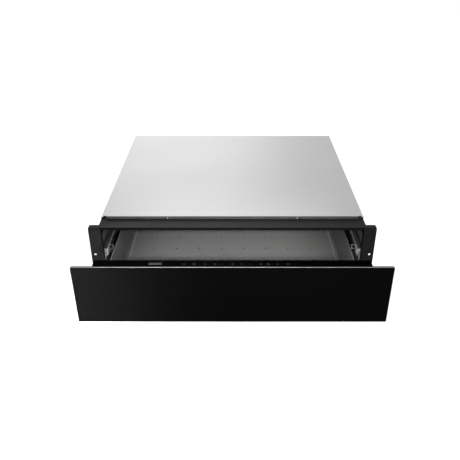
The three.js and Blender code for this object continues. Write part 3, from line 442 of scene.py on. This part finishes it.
def finish_for(slot):
    """The finish of one of the record's material slots, made once."""
    if slot not in SLOT_FINISH:
        colours = bpy.context.scene.drawer_colours
        makers = {
            "galvanised_steel": lambda: galvanised_sheet(tuple(colours.zinc_coat)),
            "zinc_plated_steel": bright_zinc_plate,
            "black_painted_steel": lambda: black_powder_coat(tuple(colours.powder_coat)),
            "stainless_steel": lambda: brushed_stainless(tuple(colours.tray_steel)),
            "black_glass": lambda: black_glass(tuple(colours.glass_black)),
            "satin_aluminium": lambda: satin_aluminium(tuple(colours.edge_metal)),
            "black_control_panel": gloss_panel,
            "smoked_window": smoked_window,
            "circuit_board": circuit_board,
            "insulation": mineral_board,
            "heater_sheath": oxidised_sheath,
            "aluminium_rotor": pressed_aluminium,
            "black_plastic": lambda: moulded_plastic(
                "moulded_black_polyamide", "#121213", "#1b1b1d", 0.48, 1.5, shine=0.3),
            "grey_plastic": lambda: moulded_plastic("moulded_grey_acetal", "#a9acb0", "#b8bbbf", 0.36, 2.0),
            "ivory_plastic": lambda: moulded_plastic(
                "moulded_ivory_melamine", "#ddd8ca", "#e9e5d9", 0.42, 2.0),
            "black_rubber": lambda: moulded_plastic(
                "moulded_black_rubber", "#101010", "#171717", 0.8, 1.2, shine=0.06),
        }
        SLOT_FINISH[slot] = makers[slot]()
    return SLOT_FINISH[slot]


# ---------------------------------------------------------------- mesh helpers
def in_scene(name, data):
    """A new object in the scene."""
    made = bpy.data.objects.new(name, data)
    bpy.context.scene.collection.objects.link(made)
    return made


def flattened(thing):
    """A plain mesh of an object as its modifiers leave it."""
    bpy.context.view_layer.update()
    return bpy.data.meshes.new_from_object(thing.evaluated_get(bpy.context.evaluated_depsgraph_get()))


def keep(name, mesh, body, slot, material=None):
    """Turns a finished mesh into a piece that rides on a body and takes its finish from a slot."""
    piece = in_scene(name, mesh)
    mesh.materials.clear()
    mesh.materials.append(material or finish_for(slot))
    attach(piece, body)
    return piece


def meshed(build, merge=1e-7):
    """A mesh from a bmesh that the build function fills, with faces turned out.

    Points closer together than merge, in metres, become one.
    """
    work = bmesh.new()
    build(work)
    bmesh.ops.remove_doubles(work, verts=work.verts, dist=merge)
    bmesh.ops.recalc_face_normals(work, faces=work.faces)
    mesh = bpy.data.meshes.new("piece")
    work.to_mesh(mesh)
    work.free()
    return mesh


def arc(cx, cy, radius, start, end, steps):
    """Points of an arc between two angles in degrees."""
    angles = [math.radians(start + (end - start) * i / steps) for i in range(steps + 1)]
    return [(cx + radius * math.cos(a), cy + radius * math.sin(a)) for a in angles]


def rounded_rectangle(x0, x1, y0, y1, radius, steps=5):
    """The outline of a rectangle with round corners."""
    corners = ((x1 - radius, y0 + radius, -90), (x1 - radius, y1 - radius, 0),
               (x0 + radius, y1 - radius, 90), (x0 + radius, y0 + radius, 180))
    return [point for cx, cy, start in corners for point in arc(cx, cy, radius, start, start + 90, steps)]


def skin(work, rings, capped):
    """Faces between rings of equal point counts, and over the two ends if capped."""
    loops = [[work.verts.new(point) for point in ring] for ring in rings]
    count = len(loops[0])
    for near, far in zip(loops, loops[1:]):
        for i in range(count):
            j = (i + 1) % count
            work.faces.new((near[i], near[j], far[j], far[i]))
    if capped:
        work.faces.new(loops[0][::-1])
        work.faces.new(loops[-1])


def prism(work, outline, place):
    """Closes an outline between two caps; place gives a point in space from u, v and 0 or 1."""
    skin(work, [[place(u, v, end) for u, v in outline] for end in (0, 1)], True)


def bar_along_x(work, section, start, end):
    """A bar from one X to another, with its section in Y and Z."""
    prism(work, section, lambda u, v, far: (end if far else start, u, v))


def cut_away(mesh, boxes):
    """The mesh with boxes, given by their lowest and highest corners, cut out of it."""
    whole = in_scene("whole", mesh)
    cutters = []
    for low, high in boxes:
        outline = [(low[0], low[1]), (high[0], low[1]), (high[0], high[1]), (low[0], high[1])]

        def box(work, outline=outline, levels=(low[2], high[2])):
            prism(work, outline, lambda u, v, end: (u, v, levels[end]))

        cutter = in_scene("cutter", meshed(box))
        modifier = whole.modifiers.new("cut", "BOOLEAN")
        modifier.operation = "DIFFERENCE"
        modifier.object = cutter
        cutters.append(cutter)
    result = flattened(whole)
    for spare in [whole] + cutters:
        bpy.data.objects.remove(spare)
    return result


# ---------------------------------------------------------------- the operators
class WARMDRAWER_OT_finishes(bpy.types.Operator):
    """Give every carried-over solid the finish of its material slot"""
    bl_idname = "warmdrawer.finishes"
    bl_label = "Finishes of the solids"

    def execute(self, context):
        rail = phosphated_sheet()
        screw = bright_zinc_plate("tumbled_zinc_screws", 0.30, 0.42)
        own = {"spacer_rail_left": rail, "spacer_rail_right": rail,
               "frame_screw_left": screw, "frame_screw_right": screw,
               "tray": rolled_stainless(tuple(context.scene.drawer_colours.wall_steel_shaded))}
        for entry in frame["record"]["subparts"]:
            solid = frame["nodes"][entry["node"]]
            finish = own.get(entry["node"]) or finish_for(entry["material_slot"])
            if not solid.material_slots:
                solid.data.materials.append(finish)
            for slot in solid.material_slots:
                slot.material = finish
        return {"FINISHED"}


EDGE_TURNS = (0, 0.3, 0.7, 1)  # steps of the quarter circle that the ground edge turns through
PROFILE_EASE = 0.3  # bevel of the profile's edges, as a share of its wall
TIGHTEST_CORNER = 0.2 * MM


class WARMDRAWER_OT_glass_front(bpy.types.Operator):
    """Build the glass with its ground edge and the thin metal profile round its front"""
    bl_idname = "warmdrawer.glass_front"
    bl_label = "Glass front"

    def execute(self, context):
        sizes = context.scene.drawer_sizes
        low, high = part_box("front_trim")
        edge, corner, wall = sizes.glass_edge, sizes.glass_corner, sizes.profile_wall

        def ring(inset, y, radius):
            return [(x, y, z) for x, z in rounded_rectangle(
                low.x + inset, high.x - inset, low.z + inset, high.z - inset, radius)]

        def pane(work):
            rings = []
            for share in EDGE_TURNS:
                angle = math.radians(90 * share)
                inset = edge * (1 - math.sin(angle)) + wall + SKIN
                rings.append(ring(inset, low.y + edge * (1 - math.cos(angle)), corner))
            rings += [[(x, high.y - (y - low.y), z) for x, y, z in front] for front in reversed(rings)]
            skin(work, rings, True)

        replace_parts(keep("glass_pane", meshed(pane), "drawer", "black_glass"), "front_glass")

        def profile(work):
            ease = wall * PROFILE_EASE
            depth = (high.y - low.y) * sizes.profile_share
            section = [(0, ease), (ease, 0), (wall - ease, 0), (wall, ease)]
            section += [(u, depth - v) for u, v in reversed(section)]
            rings = [ring(u, low.y + v, max(corner - u * 0.5, TIGHTEST_CORNER)) for u, v in section]
            skin(work, rings + rings[:1], False)

        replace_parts(keep("edge_profile", meshed(profile), "drawer", "satin_aluminium"), "front_trim")
        return {"FINISHED"}


# the cover's sizes, as in the solid
COVER_SHEET = 1.0 * MM
COVER_LIP = 3.0 * MM  # height of its front edge, which is bent down
NOTCH_INSET = 7 * MM  # from the cover's side to the middle of the notch through its front edge
NOTCH_HALF = 3.5 * MM
NOTCH_DEPTH = 5 * MM
BEND_STEPS = 6


class WARMDRAWER_OT_cover(bpy.types.Operator):
    """Build the top cover as one bent sheet with round bends"""
    bl_idname = "warmdrawer.cover"
    bl_label = "Top cover"

    def execute(self, context):
        low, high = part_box("top_cover")
        radius = context.scene.drawer_sizes.bend_radius
        inner = max(radius - COVER_SHEET, TIGHTEST_CORNER)
        lip = high.z - COVER_LIP
        front, rear, top = low.y + radius, high.y - radius, high.z - radius
        section = [(low.y, lip)]
        section += arc(front, top, radius, 180, 90, BEND_STEPS) + arc(rear, top, radius, 90, 0, BEND_STEPS)
        section += [(high.y, low.z), (high.y - COVER_SHEET, low.z)]
        section += arc(rear, top, inner, 0, 90, BEND_STEPS) + arc(front, top, inner, 90, 180, BEND_STEPS)
        section += [(low.y + COVER_SHEET, lip)]

        def sheet(work):
            bar_along_x(work, section, low.x, high.x)

        notch = high.x - NOTCH_INSET
        notches = [((x - NOTCH_HALF, low.y - COVER_SHEET, lip - COVER_SHEET),
                    (x + NOTCH_HALF, low.y + NOTCH_DEPTH, high.z + COVER_SHEET)) for x in (-notch, notch)]
        piece = keep("cover_sheet", cut_away(meshed(sheet), notches), "housing", "galvanised_steel")
        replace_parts(piece, "top_cover")
        return {"FINISHED"}


SHADE_STRIP_EARS = 26 * MM  # length left bare at each end, for the ears
SHADE_STRIP_DROP = 0.5 * MM  # from the top of the frame down to the seal
SHADE_STRIP_HEIGHT = 5.3 * MM
SHADE_STRIP_THICKNESS = 1.1 * MM
SHADE_STRIP_CORNER = 0.4 * MM


class WARMDRAWER_OT_front_seal(bpy.types.Operator):
    """Build the flat black rubber strip on the face of the top rail, which the closed front lies close to; the
    dark strip is painted shade along that face
    """
    bl_idname = "warmdrawer.front_seal"
    bl_label = "Front seal"

    def execute(self, context):
        low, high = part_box("front_frame")
        reach = high.x - SHADE_STRIP_EARS
        top = high.z - SHADE_STRIP_DROP
        section = rounded_rectangle(low.y - SHADE_STRIP_THICKNESS, low.y - SKIN, top - SHADE_STRIP_HEIGHT, top, SHADE_STRIP_CORNER)

        def strip(work):
            bar_along_x(work, section, -reach, reach)

        # black rubber strip: painted shade along the top rail's face
        keep("front_seal", meshed(strip), "housing", "black_rubber")
        return {"FINISHED"}


CHANNEL_WALL = 1.5 * MM  # from the front edge of the cover to the front face of the channel's rear wall
TAPE_THICKNESS = 0.7 * MM
TAPE_LEVELS = (4.0 * MM, 0.1 * MM)  # from the top of the cover down to the tape's lower and upper edge
TAPE_CORNER = 0.25 * MM
TAPE_EARS = 11 * MM  # length left bare at each end
TAPE_GAP = 1.5 * MM  # from a frame screw to the tape on each side of it
LAP_DEPTH = 2.0 * MM  # of the cover's front edge that the tape laps over
LAP_LEVELS = (0.02 * MM, 0.4 * MM)  # from the top of the cover up to the lap's underside and top
LAP_CORNER = 0.15 * MM


class WARMDRAWER_OT_channel_seal(bpy.types.Operator):
    """Build the foam tape on the channel's rear wall, lapped over the front edge of the cover; its pale grey
    is painted light that lifts the shade on that wall
    """
    bl_idname = "warmdrawer.channel_seal"
    bl_label = "Channel seal"

    def execute(self, context):
        low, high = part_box("top_cover")
        wall = low.y - CHANNEL_WALL
        screw_low, screw_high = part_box("frame_screw_right")
        reach = high.x - TAPE_EARS
        lengths = [(screw_high.x + TAPE_GAP, reach), (-reach, -(screw_high.x + TAPE_GAP)),
                   (TAPE_GAP - screw_low.x, screw_low.x - TAPE_GAP)]
        face = wall - TAPE_THICKNESS
        section = rounded_rectangle(face, wall - SKIN, high.z - TAPE_LEVELS[0], high.z - TAPE_LEVELS[1],
                                    TAPE_CORNER)
        lap = rounded_rectangle(face, low.y + LAP_DEPTH, high.z + LAP_LEVELS[0], high.z + LAP_LEVELS[1],
                                LAP_CORNER)

        def tape(work):
            for start, end in lengths:
                bar_along_x(work, section, start, end)
            bar_along_x(work, lap, -reach, reach)

        # pale grey: painted light that lifts the shade on the channel's rear wall
        foam = moulded_plastic("grey_tape_painted_light", "#575759", "#666668", 0.85, 1.6, shine=0.1)
        keep("channel_seal", meshed(tape), "housing", "black_rubber", foam)
        return {"FINISHED"}


ROLL_BELOW = 0.2 * MM  # from the strip's underside down to the rolled edge's
ROLL_DROP = 0.1 * MM  # from the strip's top down to the rolled edge's
ROLL_CORNER = 0.9 * MM


class WARMDRAWER_OT_strip_edge(bpy.types.Operator):
    """Build the rolled edge along the rear of the control strip"""
    bl_idname = "warmdrawer.strip_edge"
    bl_label = "Strip edge"

    def execute(self, context):
        low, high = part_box("control_strip")
        reach = context.scene.drawer_sizes.strip_overhang
        section = rounded_rectangle(high.y + SKIN, high.y + reach, low.z - ROLL_BELOW, high.z - ROLL_DROP,
                                    ROLL_CORNER)

        def edge(work):
            bar_along_x(work, section, low.x, high.x)

        keep("strip_edge", meshed(edge), "drawer", "black_control_panel")
        return {"FINISHED"}


TURNED_UP = 7.5 * MM  # height of the floor plate's turned-up sides above its floor
BEAD_INSET = 5 * MM  # from the floor plate's side to the bead, where the bend begins
BEAD_RISE = 0.5  # height of the bead, as a share of half its width
BEAD_STEPS = 8


class WARMDRAWER_OT_floor_beads(bpy.types.Operator):
    """Build the narrow rolled bead along each side of the tray's floor plate"""
    bl_idname = "warmdrawer.floor_beads"
    bl_label = "Floor beads"

    def execute(self, context):
        low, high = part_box("floor_plate")
        level = high.z - TURNED_UP
        reach = high.x - BEAD_INSET
        half = context.scene.drawer_sizes.bead_width / 2
        section = [(u, v * BEAD_RISE) for u, v in arc(0, 0, half, 0, 180, BEAD_STEPS)]

        def beads(work):
            for x in (-reach, reach):
                prism(work, section, lambda u, v, end: (x + u, high.y if end else low.y, level + v))

        keep("floor_beads", meshed(beads), "drawer", "stainless_steel", bead_painted_highlight())
        return {"FINISHED"}


# strokes of each plain touch mark, in units of half its height: a bar by its two ends, an arc by its centre,
# radius and two angles in degrees, a dot by its centre and radius
MARKS = {
    "power": [("arc", 0, 0, 0.85, 120, 420), ("bar", 0, 0.2, 0, 1)],
    "minus": [("bar", -0.8, 0, 0.8, 0)],
    "plus": [("bar", -0.8, 0, 0.8, 0), ("bar", 0, -0.8, 0, 0.8)],
    "clock": [("arc", 0, 0, 0.85, 0, 360), ("bar", 0, 0, 0, 0.5), ("bar", 0, 0, 0.4, 0)],
    "waves": [("bar", x, -0.8, x, 0.8) for x in (-0.55, 0, 0.55)],
    "plate": [("arc", 0, 0, 0.9, 0, 360), ("arc", 0, 0, 0.5, 0, 360)],
    "dish": [("arc", 0, -0.3, 0.85, 0, 180), ("bar", -1, -0.45, 1, -0.45)],
    "start": [("bar", -0.5, -0.8, -0.5, 0.8), ("bar", -0.5, 0.8, 0.8, 0), ("bar", 0.8, 0, -0.5, -0.8)],
    "dot": [("dot", 0, 0, 0.35)],
}
# where each mark stands on the control strip, in millimetres from its middle
TOUCH_ROW = [(-90.6, "power"), (-71.3, "plate"), (-50.9, "dish"), (-32.5, "waves"), (-19.2, "minus"),
             (0.8, "clock"), (17.2, "plus"), (32.9, "dot"), (53.3, "waves"), (67.2, "plate"),
             (84.4, "start"), (103.8, "clock")]
ROW_SHARE = 0.62  # share of the strip's depth at which the row stands
ARC_STEP = 20  # degrees
DOT_TURN = (0, 330, 11)  # first and last angle and steps of a dot's outline, which has twelve points


def patch(work, outline, level):
    """A flat patch of ink."""
    prism(work, outline, lambda u, v, end: (u, v, level + end * SKIN))


def add_bar(work, x0, y0, x1, y1, line, level):
    """A printed bar, with its ends half a line beyond the two points."""
    along = Vector((x1 - x0, y1 - y0, 0)).normalized() * (line / 2)
    side = Vector((-along.y, along.x, 0))
    a = Vector((x0, y0, level)) - along
    b = Vector((x1, y1, level)) + along
    patch(work, [(c.x, c.y) for c in (a - side, b - side, b + side, a + side)], level)


def add_arc(work, cx, cy, radius, start, end, line, level):
    """A printed arc between two angles in degrees, as a row of four-cornered patches."""
    steps = max(6, round(abs(end - start) / ARC_STEP))
    outer = arc(cx, cy, radius + line / 2, start, end, steps)
    inner = arc(cx, cy, radius - line / 2, start, end, steps)
    for i in range(steps):
        patch(work, [inner[i], inner[i + 1], outer[i + 1], outer[i]], level)


class WARMDRAWER_OT_touch_marks(bpy.types.Operator):
    """Print the row of plain touch marks on the control strip"""
    bl_idname = "warmdrawer.touch_marks"
    bl_label = "Touch marks"

    def execute(self, context):
        sizes = context.scene.drawer_sizes
        low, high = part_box("control_strip")
        middle = low.y + (high.y - low.y) * ROW_SHARE
        half, line = sizes.symbol_size / 2, sizes.symbol_line
        level = high.z + SKIN

        def marks(work):
            for place, sign in TOUCH_ROW:
                x = place * MM
                for stroke, *values in MARKS[sign]:
                    a, b, c = (value * half for value in values[:3])
                    if stroke == "bar":
                        add_bar(work, x + a, middle + b, x + c, middle + values[3] * half, line, level)
                    elif stroke == "arc":
                        add_arc(work, x + a, middle + b, c, *values[3:], line, level)
                    else:
                        patch(work, arc(x + a, middle + b, c, *DOT_TURN), level)

        ink = printed_mark(tuple(context.scene.drawer_colours.mark_grey))
        keep("touch_marks", meshed(marks, merge=1e-9), "drawer", "black_control_panel", ink)
        return {"FINISHED"}


# ---------------------------------------------------------------- fasteners by geometry nodes
# layers of a domed head: lower and upper diameter, level and height, as shares of the head's own
HEAD_LAYERS = ((1.0, 0.96, 0.0, 0.45), (0.96, 0.80, 0.45, 0.3), (0.80, 0.45, 0.75, 0.25))
RECESS = (0.52, 0.13)  # length and width of each slot of the cross, as shares of the head's diameter
RECESS_DEPTH = 1.2  # depth of the cutter, half of it below the top, as a share of the head's height


def fastener_tree(name, driven):
    """Geometry Nodes tree that puts a head on every point of a mesh, with its sizes as named inputs."""
    tree = bpy.data.node_groups.new(name, "GeometryNodeTree")
    for label, direction, kind in (
            ("Geometry", "INPUT", "Geometry"), ("Head Diameter", "INPUT", "Float"),
            ("Head Height", "INPUT", "Float"), ("Turn", "INPUT", "Vector"),
            ("Finish", "INPUT", "Material"), ("Geometry", "OUTPUT", "Geometry")):
        tree.interface.new_socket(label, in_out=direction, socket_type="NodeSocket" + kind)
    source = node(tree, "NodeGroupInput").outputs
    diameter, height = source["Head Diameter"], source["Head Height"]

    def scaled(socket, factor):
        return maths(tree, "MULTIPLY", socket, factor)

    def raised(geometry, share):
        up = node(tree, "ShaderNodeCombineXYZ", {"Z": scaled(height, share)}).outputs[0]
        return node(tree, "GeometryNodeTransform", {"Geometry": geometry, "Translation": up}).outputs[0]

    head = node(tree, "GeometryNodeMeshBoolean", operation="UNION")
    layers = []
    for low_share, high_share, level_share, height_share in HEAD_LAYERS:
        cone = node(tree, "GeometryNodeMeshCone", {
            "Vertices": 24, "Radius Bottom": scaled(diameter, low_share / 2),
            "Radius Top": scaled(diameter, high_share / 2), "Depth": scaled(height, height_share)})
        layers.append(raised(cone.outputs["Mesh"], level_share))
    for layer in layers:
        tree.links.new(layer, head.inputs["Mesh 2"])
    solid = head.outputs["Mesh"]
    if driven:
        cross = node(tree, "GeometryNodeJoinGeometry")
        for x_share, y_share in (RECESS, RECESS[::-1]):
            size = node(tree, "ShaderNodeCombineXYZ", {
                "X": scaled(diameter, x_share), "Y": scaled(diameter, y_share),
                "Z": scaled(height, RECESS_DEPTH)}).outputs[0]
            bar = node(tree, "GeometryNodeMeshCube", {"Size": size}).outputs["Mesh"]
            tree.links.new(raised(bar, 1.0), cross.inputs["Geometry"])
        cut = node(tree, "GeometryNodeMeshBoolean", {"Mesh 1": solid}, operation="DIFFERENCE")
        tree.links.new(cross.outputs[0], cut.inputs["Mesh 2"])
        solid = cut.outputs["Mesh"]
    placed = node(tree, "GeometryNodeInstanceOnPoints", {
        "Points": source["Geometry"], "Instance": solid, "Rotation": source["Turn"]})
    real = node(tree, "GeometryNodeRealizeInstances", {"Geometry": placed.outputs["Instances"]})
    dressed = node(tree, "GeometryNodeSetMaterial", {
        "Geometry": real.outputs["Geometry"], "Material": source["Finish"]})
    node(tree, "NodeGroupOutput", {"Geometry": dressed.outputs["Geometry"]})
    return tree


def fasteners(name, tree, points, turn, diameter, height):
    """One plain mesh, on the housing, of the heads that the tree puts on the points."""
    slot = "zinc_plated_steel"
    mesh = bpy.data.meshes.new(name + "_points")
    mesh.from_pydata([tuple(p) for p in points], [], [])
    carrier = in_scene(name + "_points", mesh)
    modifier = carrier.modifiers.new("heads", "NODES")
    modifier.node_group = tree
    values = {"Head Diameter": diameter, "Head Height": height, "Turn": turn, "Finish": finish_for(slot)}
    for item in tree.interface.items_tree:
        if item.in_out == "INPUT" and item.name in values:
            modifier[item.identifier] = values[item.name]
    plain = flattened(carrier)
    bpy.data.objects.remove(carrier)
    if not plain.polygons:
        raise RuntimeError("no heads were made for " + name)
    keep(name, plain, "housing", slot)


def spaced(low, high, count):
    """Evenly spaced values, with both ends."""
    return [low + (high - low) * i / (count - 1) for i in range(count)]


# turns that make a head face +Y, -X and +X
BACK = (-math.pi / 2, 0.0, 0.0)
LEFT = (0.0, -math.pi / 2, 0.0)
RIGHT = (0.0, math.pi / 2, 0.0)

SCREW_REACH = 245 * MM  # from the middle to the outermost screws of the cover
SCREW_DROP = 6.5 * MM  # from the top of the cover down to its screws
SCREW_HEIGHT = 2.2 * MM
SMALL_SCREW = 0.85  # diameter of the rear panel's screws, as a share of the cover's
SMALL_SCREW_HEIGHT = 2.0 * MM
LATCH_SCREWS = 17 * MM  # from the middle of a latch to its screws
BOARD_SCREWS = 5 * MM  # from the edges of the power board to its screws
RIVET_HEIGHT = 1.3 * MM
RIVET_INSET = 4 * MM  # from the top and the bottom of a rail to its rivets
RIVET_ENDS = 25 * MM  # from the ends of a rail to its first and last rivets


class WARMDRAWER_OT_fasteners(bpy.types.Operator):
    """Put the screws on the rear and the rivets on the side walls"""
    bl_idname = "warmdrawer.fasteners"
    bl_label = "Screws and rivets"

    def execute(self, context):
        sizes = context.scene.drawer_sizes
        screw = fastener_tree("pan_head_screws", True)
        rivet = fastener_tree("blind_rivets", False)
        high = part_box("top_cover")[1]
        fasteners("cover_rear_screws", screw,
                  [(x, high.y, high.z - SCREW_DROP) for x in spaced(-SCREW_REACH, SCREW_REACH, 5)],
                  BACK, sizes.screw_head, SCREW_HEIGHT)
        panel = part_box("rear_panel")[1].y
        held = []
        for side in ("left", "right"):
            body_low, body_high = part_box("latch_body_" + side)
            middle = (body_low + body_high) / 2
            held += [(middle.x + offset, panel, middle.z) for offset in (-LATCH_SCREWS, LATCH_SCREWS)]
        board_low, board_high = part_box("power_board")
        held += [(x, panel, z) for x in (board_low.x + BOARD_SCREWS, board_high.x - BOARD_SCREWS)
                 for z in (board_low.z + BOARD_SCREWS, board_high.z - BOARD_SCREWS)]
        fasteners("rear_panel_screws", screw, held, BACK, sizes.screw_head * SMALL_SCREW, SMALL_SCREW_HEIGHT)
        rail_low, rail_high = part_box("spacer_rail_left")
        body_low, body_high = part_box("housing_body")
        levels = (rail_low.z + RIVET_INSET, rail_high.z - RIVET_INSET)
        depths = spaced(rail_low.y + RIVET_ENDS, rail_high.y - RIVET_ENDS, 4)
        for side, x, turn in (("left", body_low.x, LEFT), ("right", body_high.x, RIGHT)):
            fasteners("rail_rivets_" + side, rivet, [(x, y, z) for y in depths for z in levels], turn,
                      sizes.rivet_head, RIVET_HEIGHT)
        return {"FINISHED"}


# ---------------------------------------------------------------- the stage
CAMERA_DOWN = 28.247  # degrees that the camera looks down
WORLD_LIGHT = 0.25  # strength of the white world as a light; what is seen of it has strength 1
FLOOR_GLOW = 0.8  # glow of the floor in the picture, in mirrors and through glass, but not as diffuse light
FLOOR_GAP = 0.5 * MM  # from the underside down to the floor
FLOOR_SIZE = 15  # metres, far beyond the picture


def seen(tree):
    """1 for the rays that show a thing to the camera, straight, mirrored or through glass, else 0."""
    rays = node(tree, "ShaderNodeLightPath").outputs
    direct = maths(tree, "MAXIMUM", rays["Is Camera Ray"], rays["Is Glossy Ray"])
    return maths(tree, "MAXIMUM", direct, rays["Is Transmission Ray"])


def lamp(name, energy, size, place, target=(0, 0, 0.06), spread_angle=180):
    """A rectangular lamp that points at a target."""
    data = bpy.data.lights.new(name, "AREA")
    data.energy = energy
    data.spread = math.radians(spread_angle)
    data.shape = "RECTANGLE"
    data.size, data.size_y = size
    made = in_scene(name, data)
    made.location = place
    made.rotation_euler = (Vector(target) - Vector(place)).to_track_quat("-Z", "Y").to_euler()


def white_paper():
    """Matt white paper sweep: shows as plain white, but gives no more diffuse light than paper does."""
    material, tree, shader, _ = surface("white_paper_sweep", (0.82, 0.82, 0.82, 1), 0.0, 0.9,
                                        Specular_IOR_Level=0.0)
    glow = node(tree, "ShaderNodeEmission", {
        "Color": (1, 1, 1, 1), "Strength": maths(tree, "MULTIPLY", seen(tree), FLOOR_GLOW)})
    both = node(tree, "ShaderNodeAddShader", {0: shader.outputs[0], 1: glow.outputs[0]})
    tree.links.new(both.outputs[0], tree.nodes["Material Output"].inputs["Surface"])
    return material


class WARMDRAWER_OT_stage(bpy.types.Operator):
    """Set the camera, the lamps, the white world and the white floor"""
    bl_idname = "warmdrawer.stage"
    bl_label = "Stage"

    def execute(self, context):
        scene = context.scene
        # the camera stands where the fit to the photograph puts it
        camera_data = bpy.data.cameras.new("camera")
        camera_data.sensor_width = 36
        camera_data.lens = 42.40
        camera_data.shift_x = -0.0051
        camera_data.shift_y = -0.0682
        camera_data.clip_end = 50
        camera = in_scene("camera", camera_data)
        camera.location = (0, -1.2126, 0.7109)
        camera.rotation_euler = (math.radians(90 - CAMERA_DOWN), 0, 0)
        scene.camera = camera

        lamp("back_softbox", 6.2, (0.9, 0.8), (-0.27, 1.15, 0.85), (-0.15, 0, 0.13))
        lamp("front_softbox", 14, (2.6, 1.8), (0.35, -1.75, 1.05))
        lamp("overhead_strip", 1.3, (1.4, 0.2), (-0.3, -1.0, 1.75))
        lamp("tray_light", 0.22, (0.42, 0.12), (0, -1.5, 0.87), (0, -0.34, 0.12), spread_angle=10)
        # lights the paper in front of the glass, more to the left, which the glass mirrors
        lamp("paper_light", 1.55, (0.2, 0.1), (-0.75, -1.0, 0.6), (-0.34, -0.53, 0.0), spread_angle=22)

        world = bpy.data.worlds.new("studio")
        scene.world = world
        world.use_nodes = True
        tree = world.node_tree
        background = tree.nodes["Background"]
        background.inputs["Color"].default_value = (1, 1, 1, 1)
        strength = mapped(tree, seen(tree), 0.0, 1.0, WORLD_LIGHT, 1.0)
        tree.links.new(strength, background.inputs["Strength"])

        def plane(work):
            bmesh.ops.create_grid(work, x_segments=1, y_segments=1, size=FLOOR_SIZE)

        floor = in_scene("floor", meshed(plane))
        floor.location = (0, 0, -FLOOR_GAP)
        floor.data.materials.append(white_paper())
        scene.view_settings.view_transform = "Standard"
        return {"FINISHED"}


class WARMDRAWER_PT_panel(bpy.types.Panel):
    """Steps and sizes of the warming drawer"""
    bl_idname = "WARMDRAWER_PT_panel"
    bl_label = "Warming drawer"
    bl_space_type = "VIEW_3D"
    bl_region_type = "UI"
    bl_category = "Warming drawer"

    def draw(self, context):
        layout = self.layout
        for step in STEPS:
            layout.operator(step.bl_idname)
        for group in (context.scene.drawer_sizes, context.scene.drawer_colours):
            column = layout.column()
            for name in group.__annotations__:
                column.prop(group, name)


STEPS = (
    WARMDRAWER_OT_finishes,
    WARMDRAWER_OT_glass_front,
    WARMDRAWER_OT_cover,
    WARMDRAWER_OT_front_seal,
    WARMDRAWER_OT_channel_seal,
    WARMDRAWER_OT_strip_edge,
    WARMDRAWER_OT_floor_beads,
    WARMDRAWER_OT_touch_marks,
    WARMDRAWER_OT_fasteners,
    WARMDRAWER_OT_stage,
)
CLASSES = (DrawerSizes, DrawerColours) + STEPS + (WARMDRAWER_PT_panel,)


def register():
    for entry in CLASSES:
        bpy.utils.register_class(entry)
    bpy.types.Scene.drawer_sizes = PointerProperty(type=DrawerSizes)
    bpy.types.Scene.drawer_colours = PointerProperty(type=DrawerColours)


def unregister():
    del bpy.types.Scene.drawer_colours
    del bpy.types.Scene.drawer_sizes
    for entry in reversed(CLASSES):
        bpy.utils.unregister_class(entry)


def main():
    register()
    for step in STEPS:
        group, name = step.bl_idname.split(".")
        getattr(getattr(bpy.ops, group), name)()


if __name__ == "__main__":
    main()
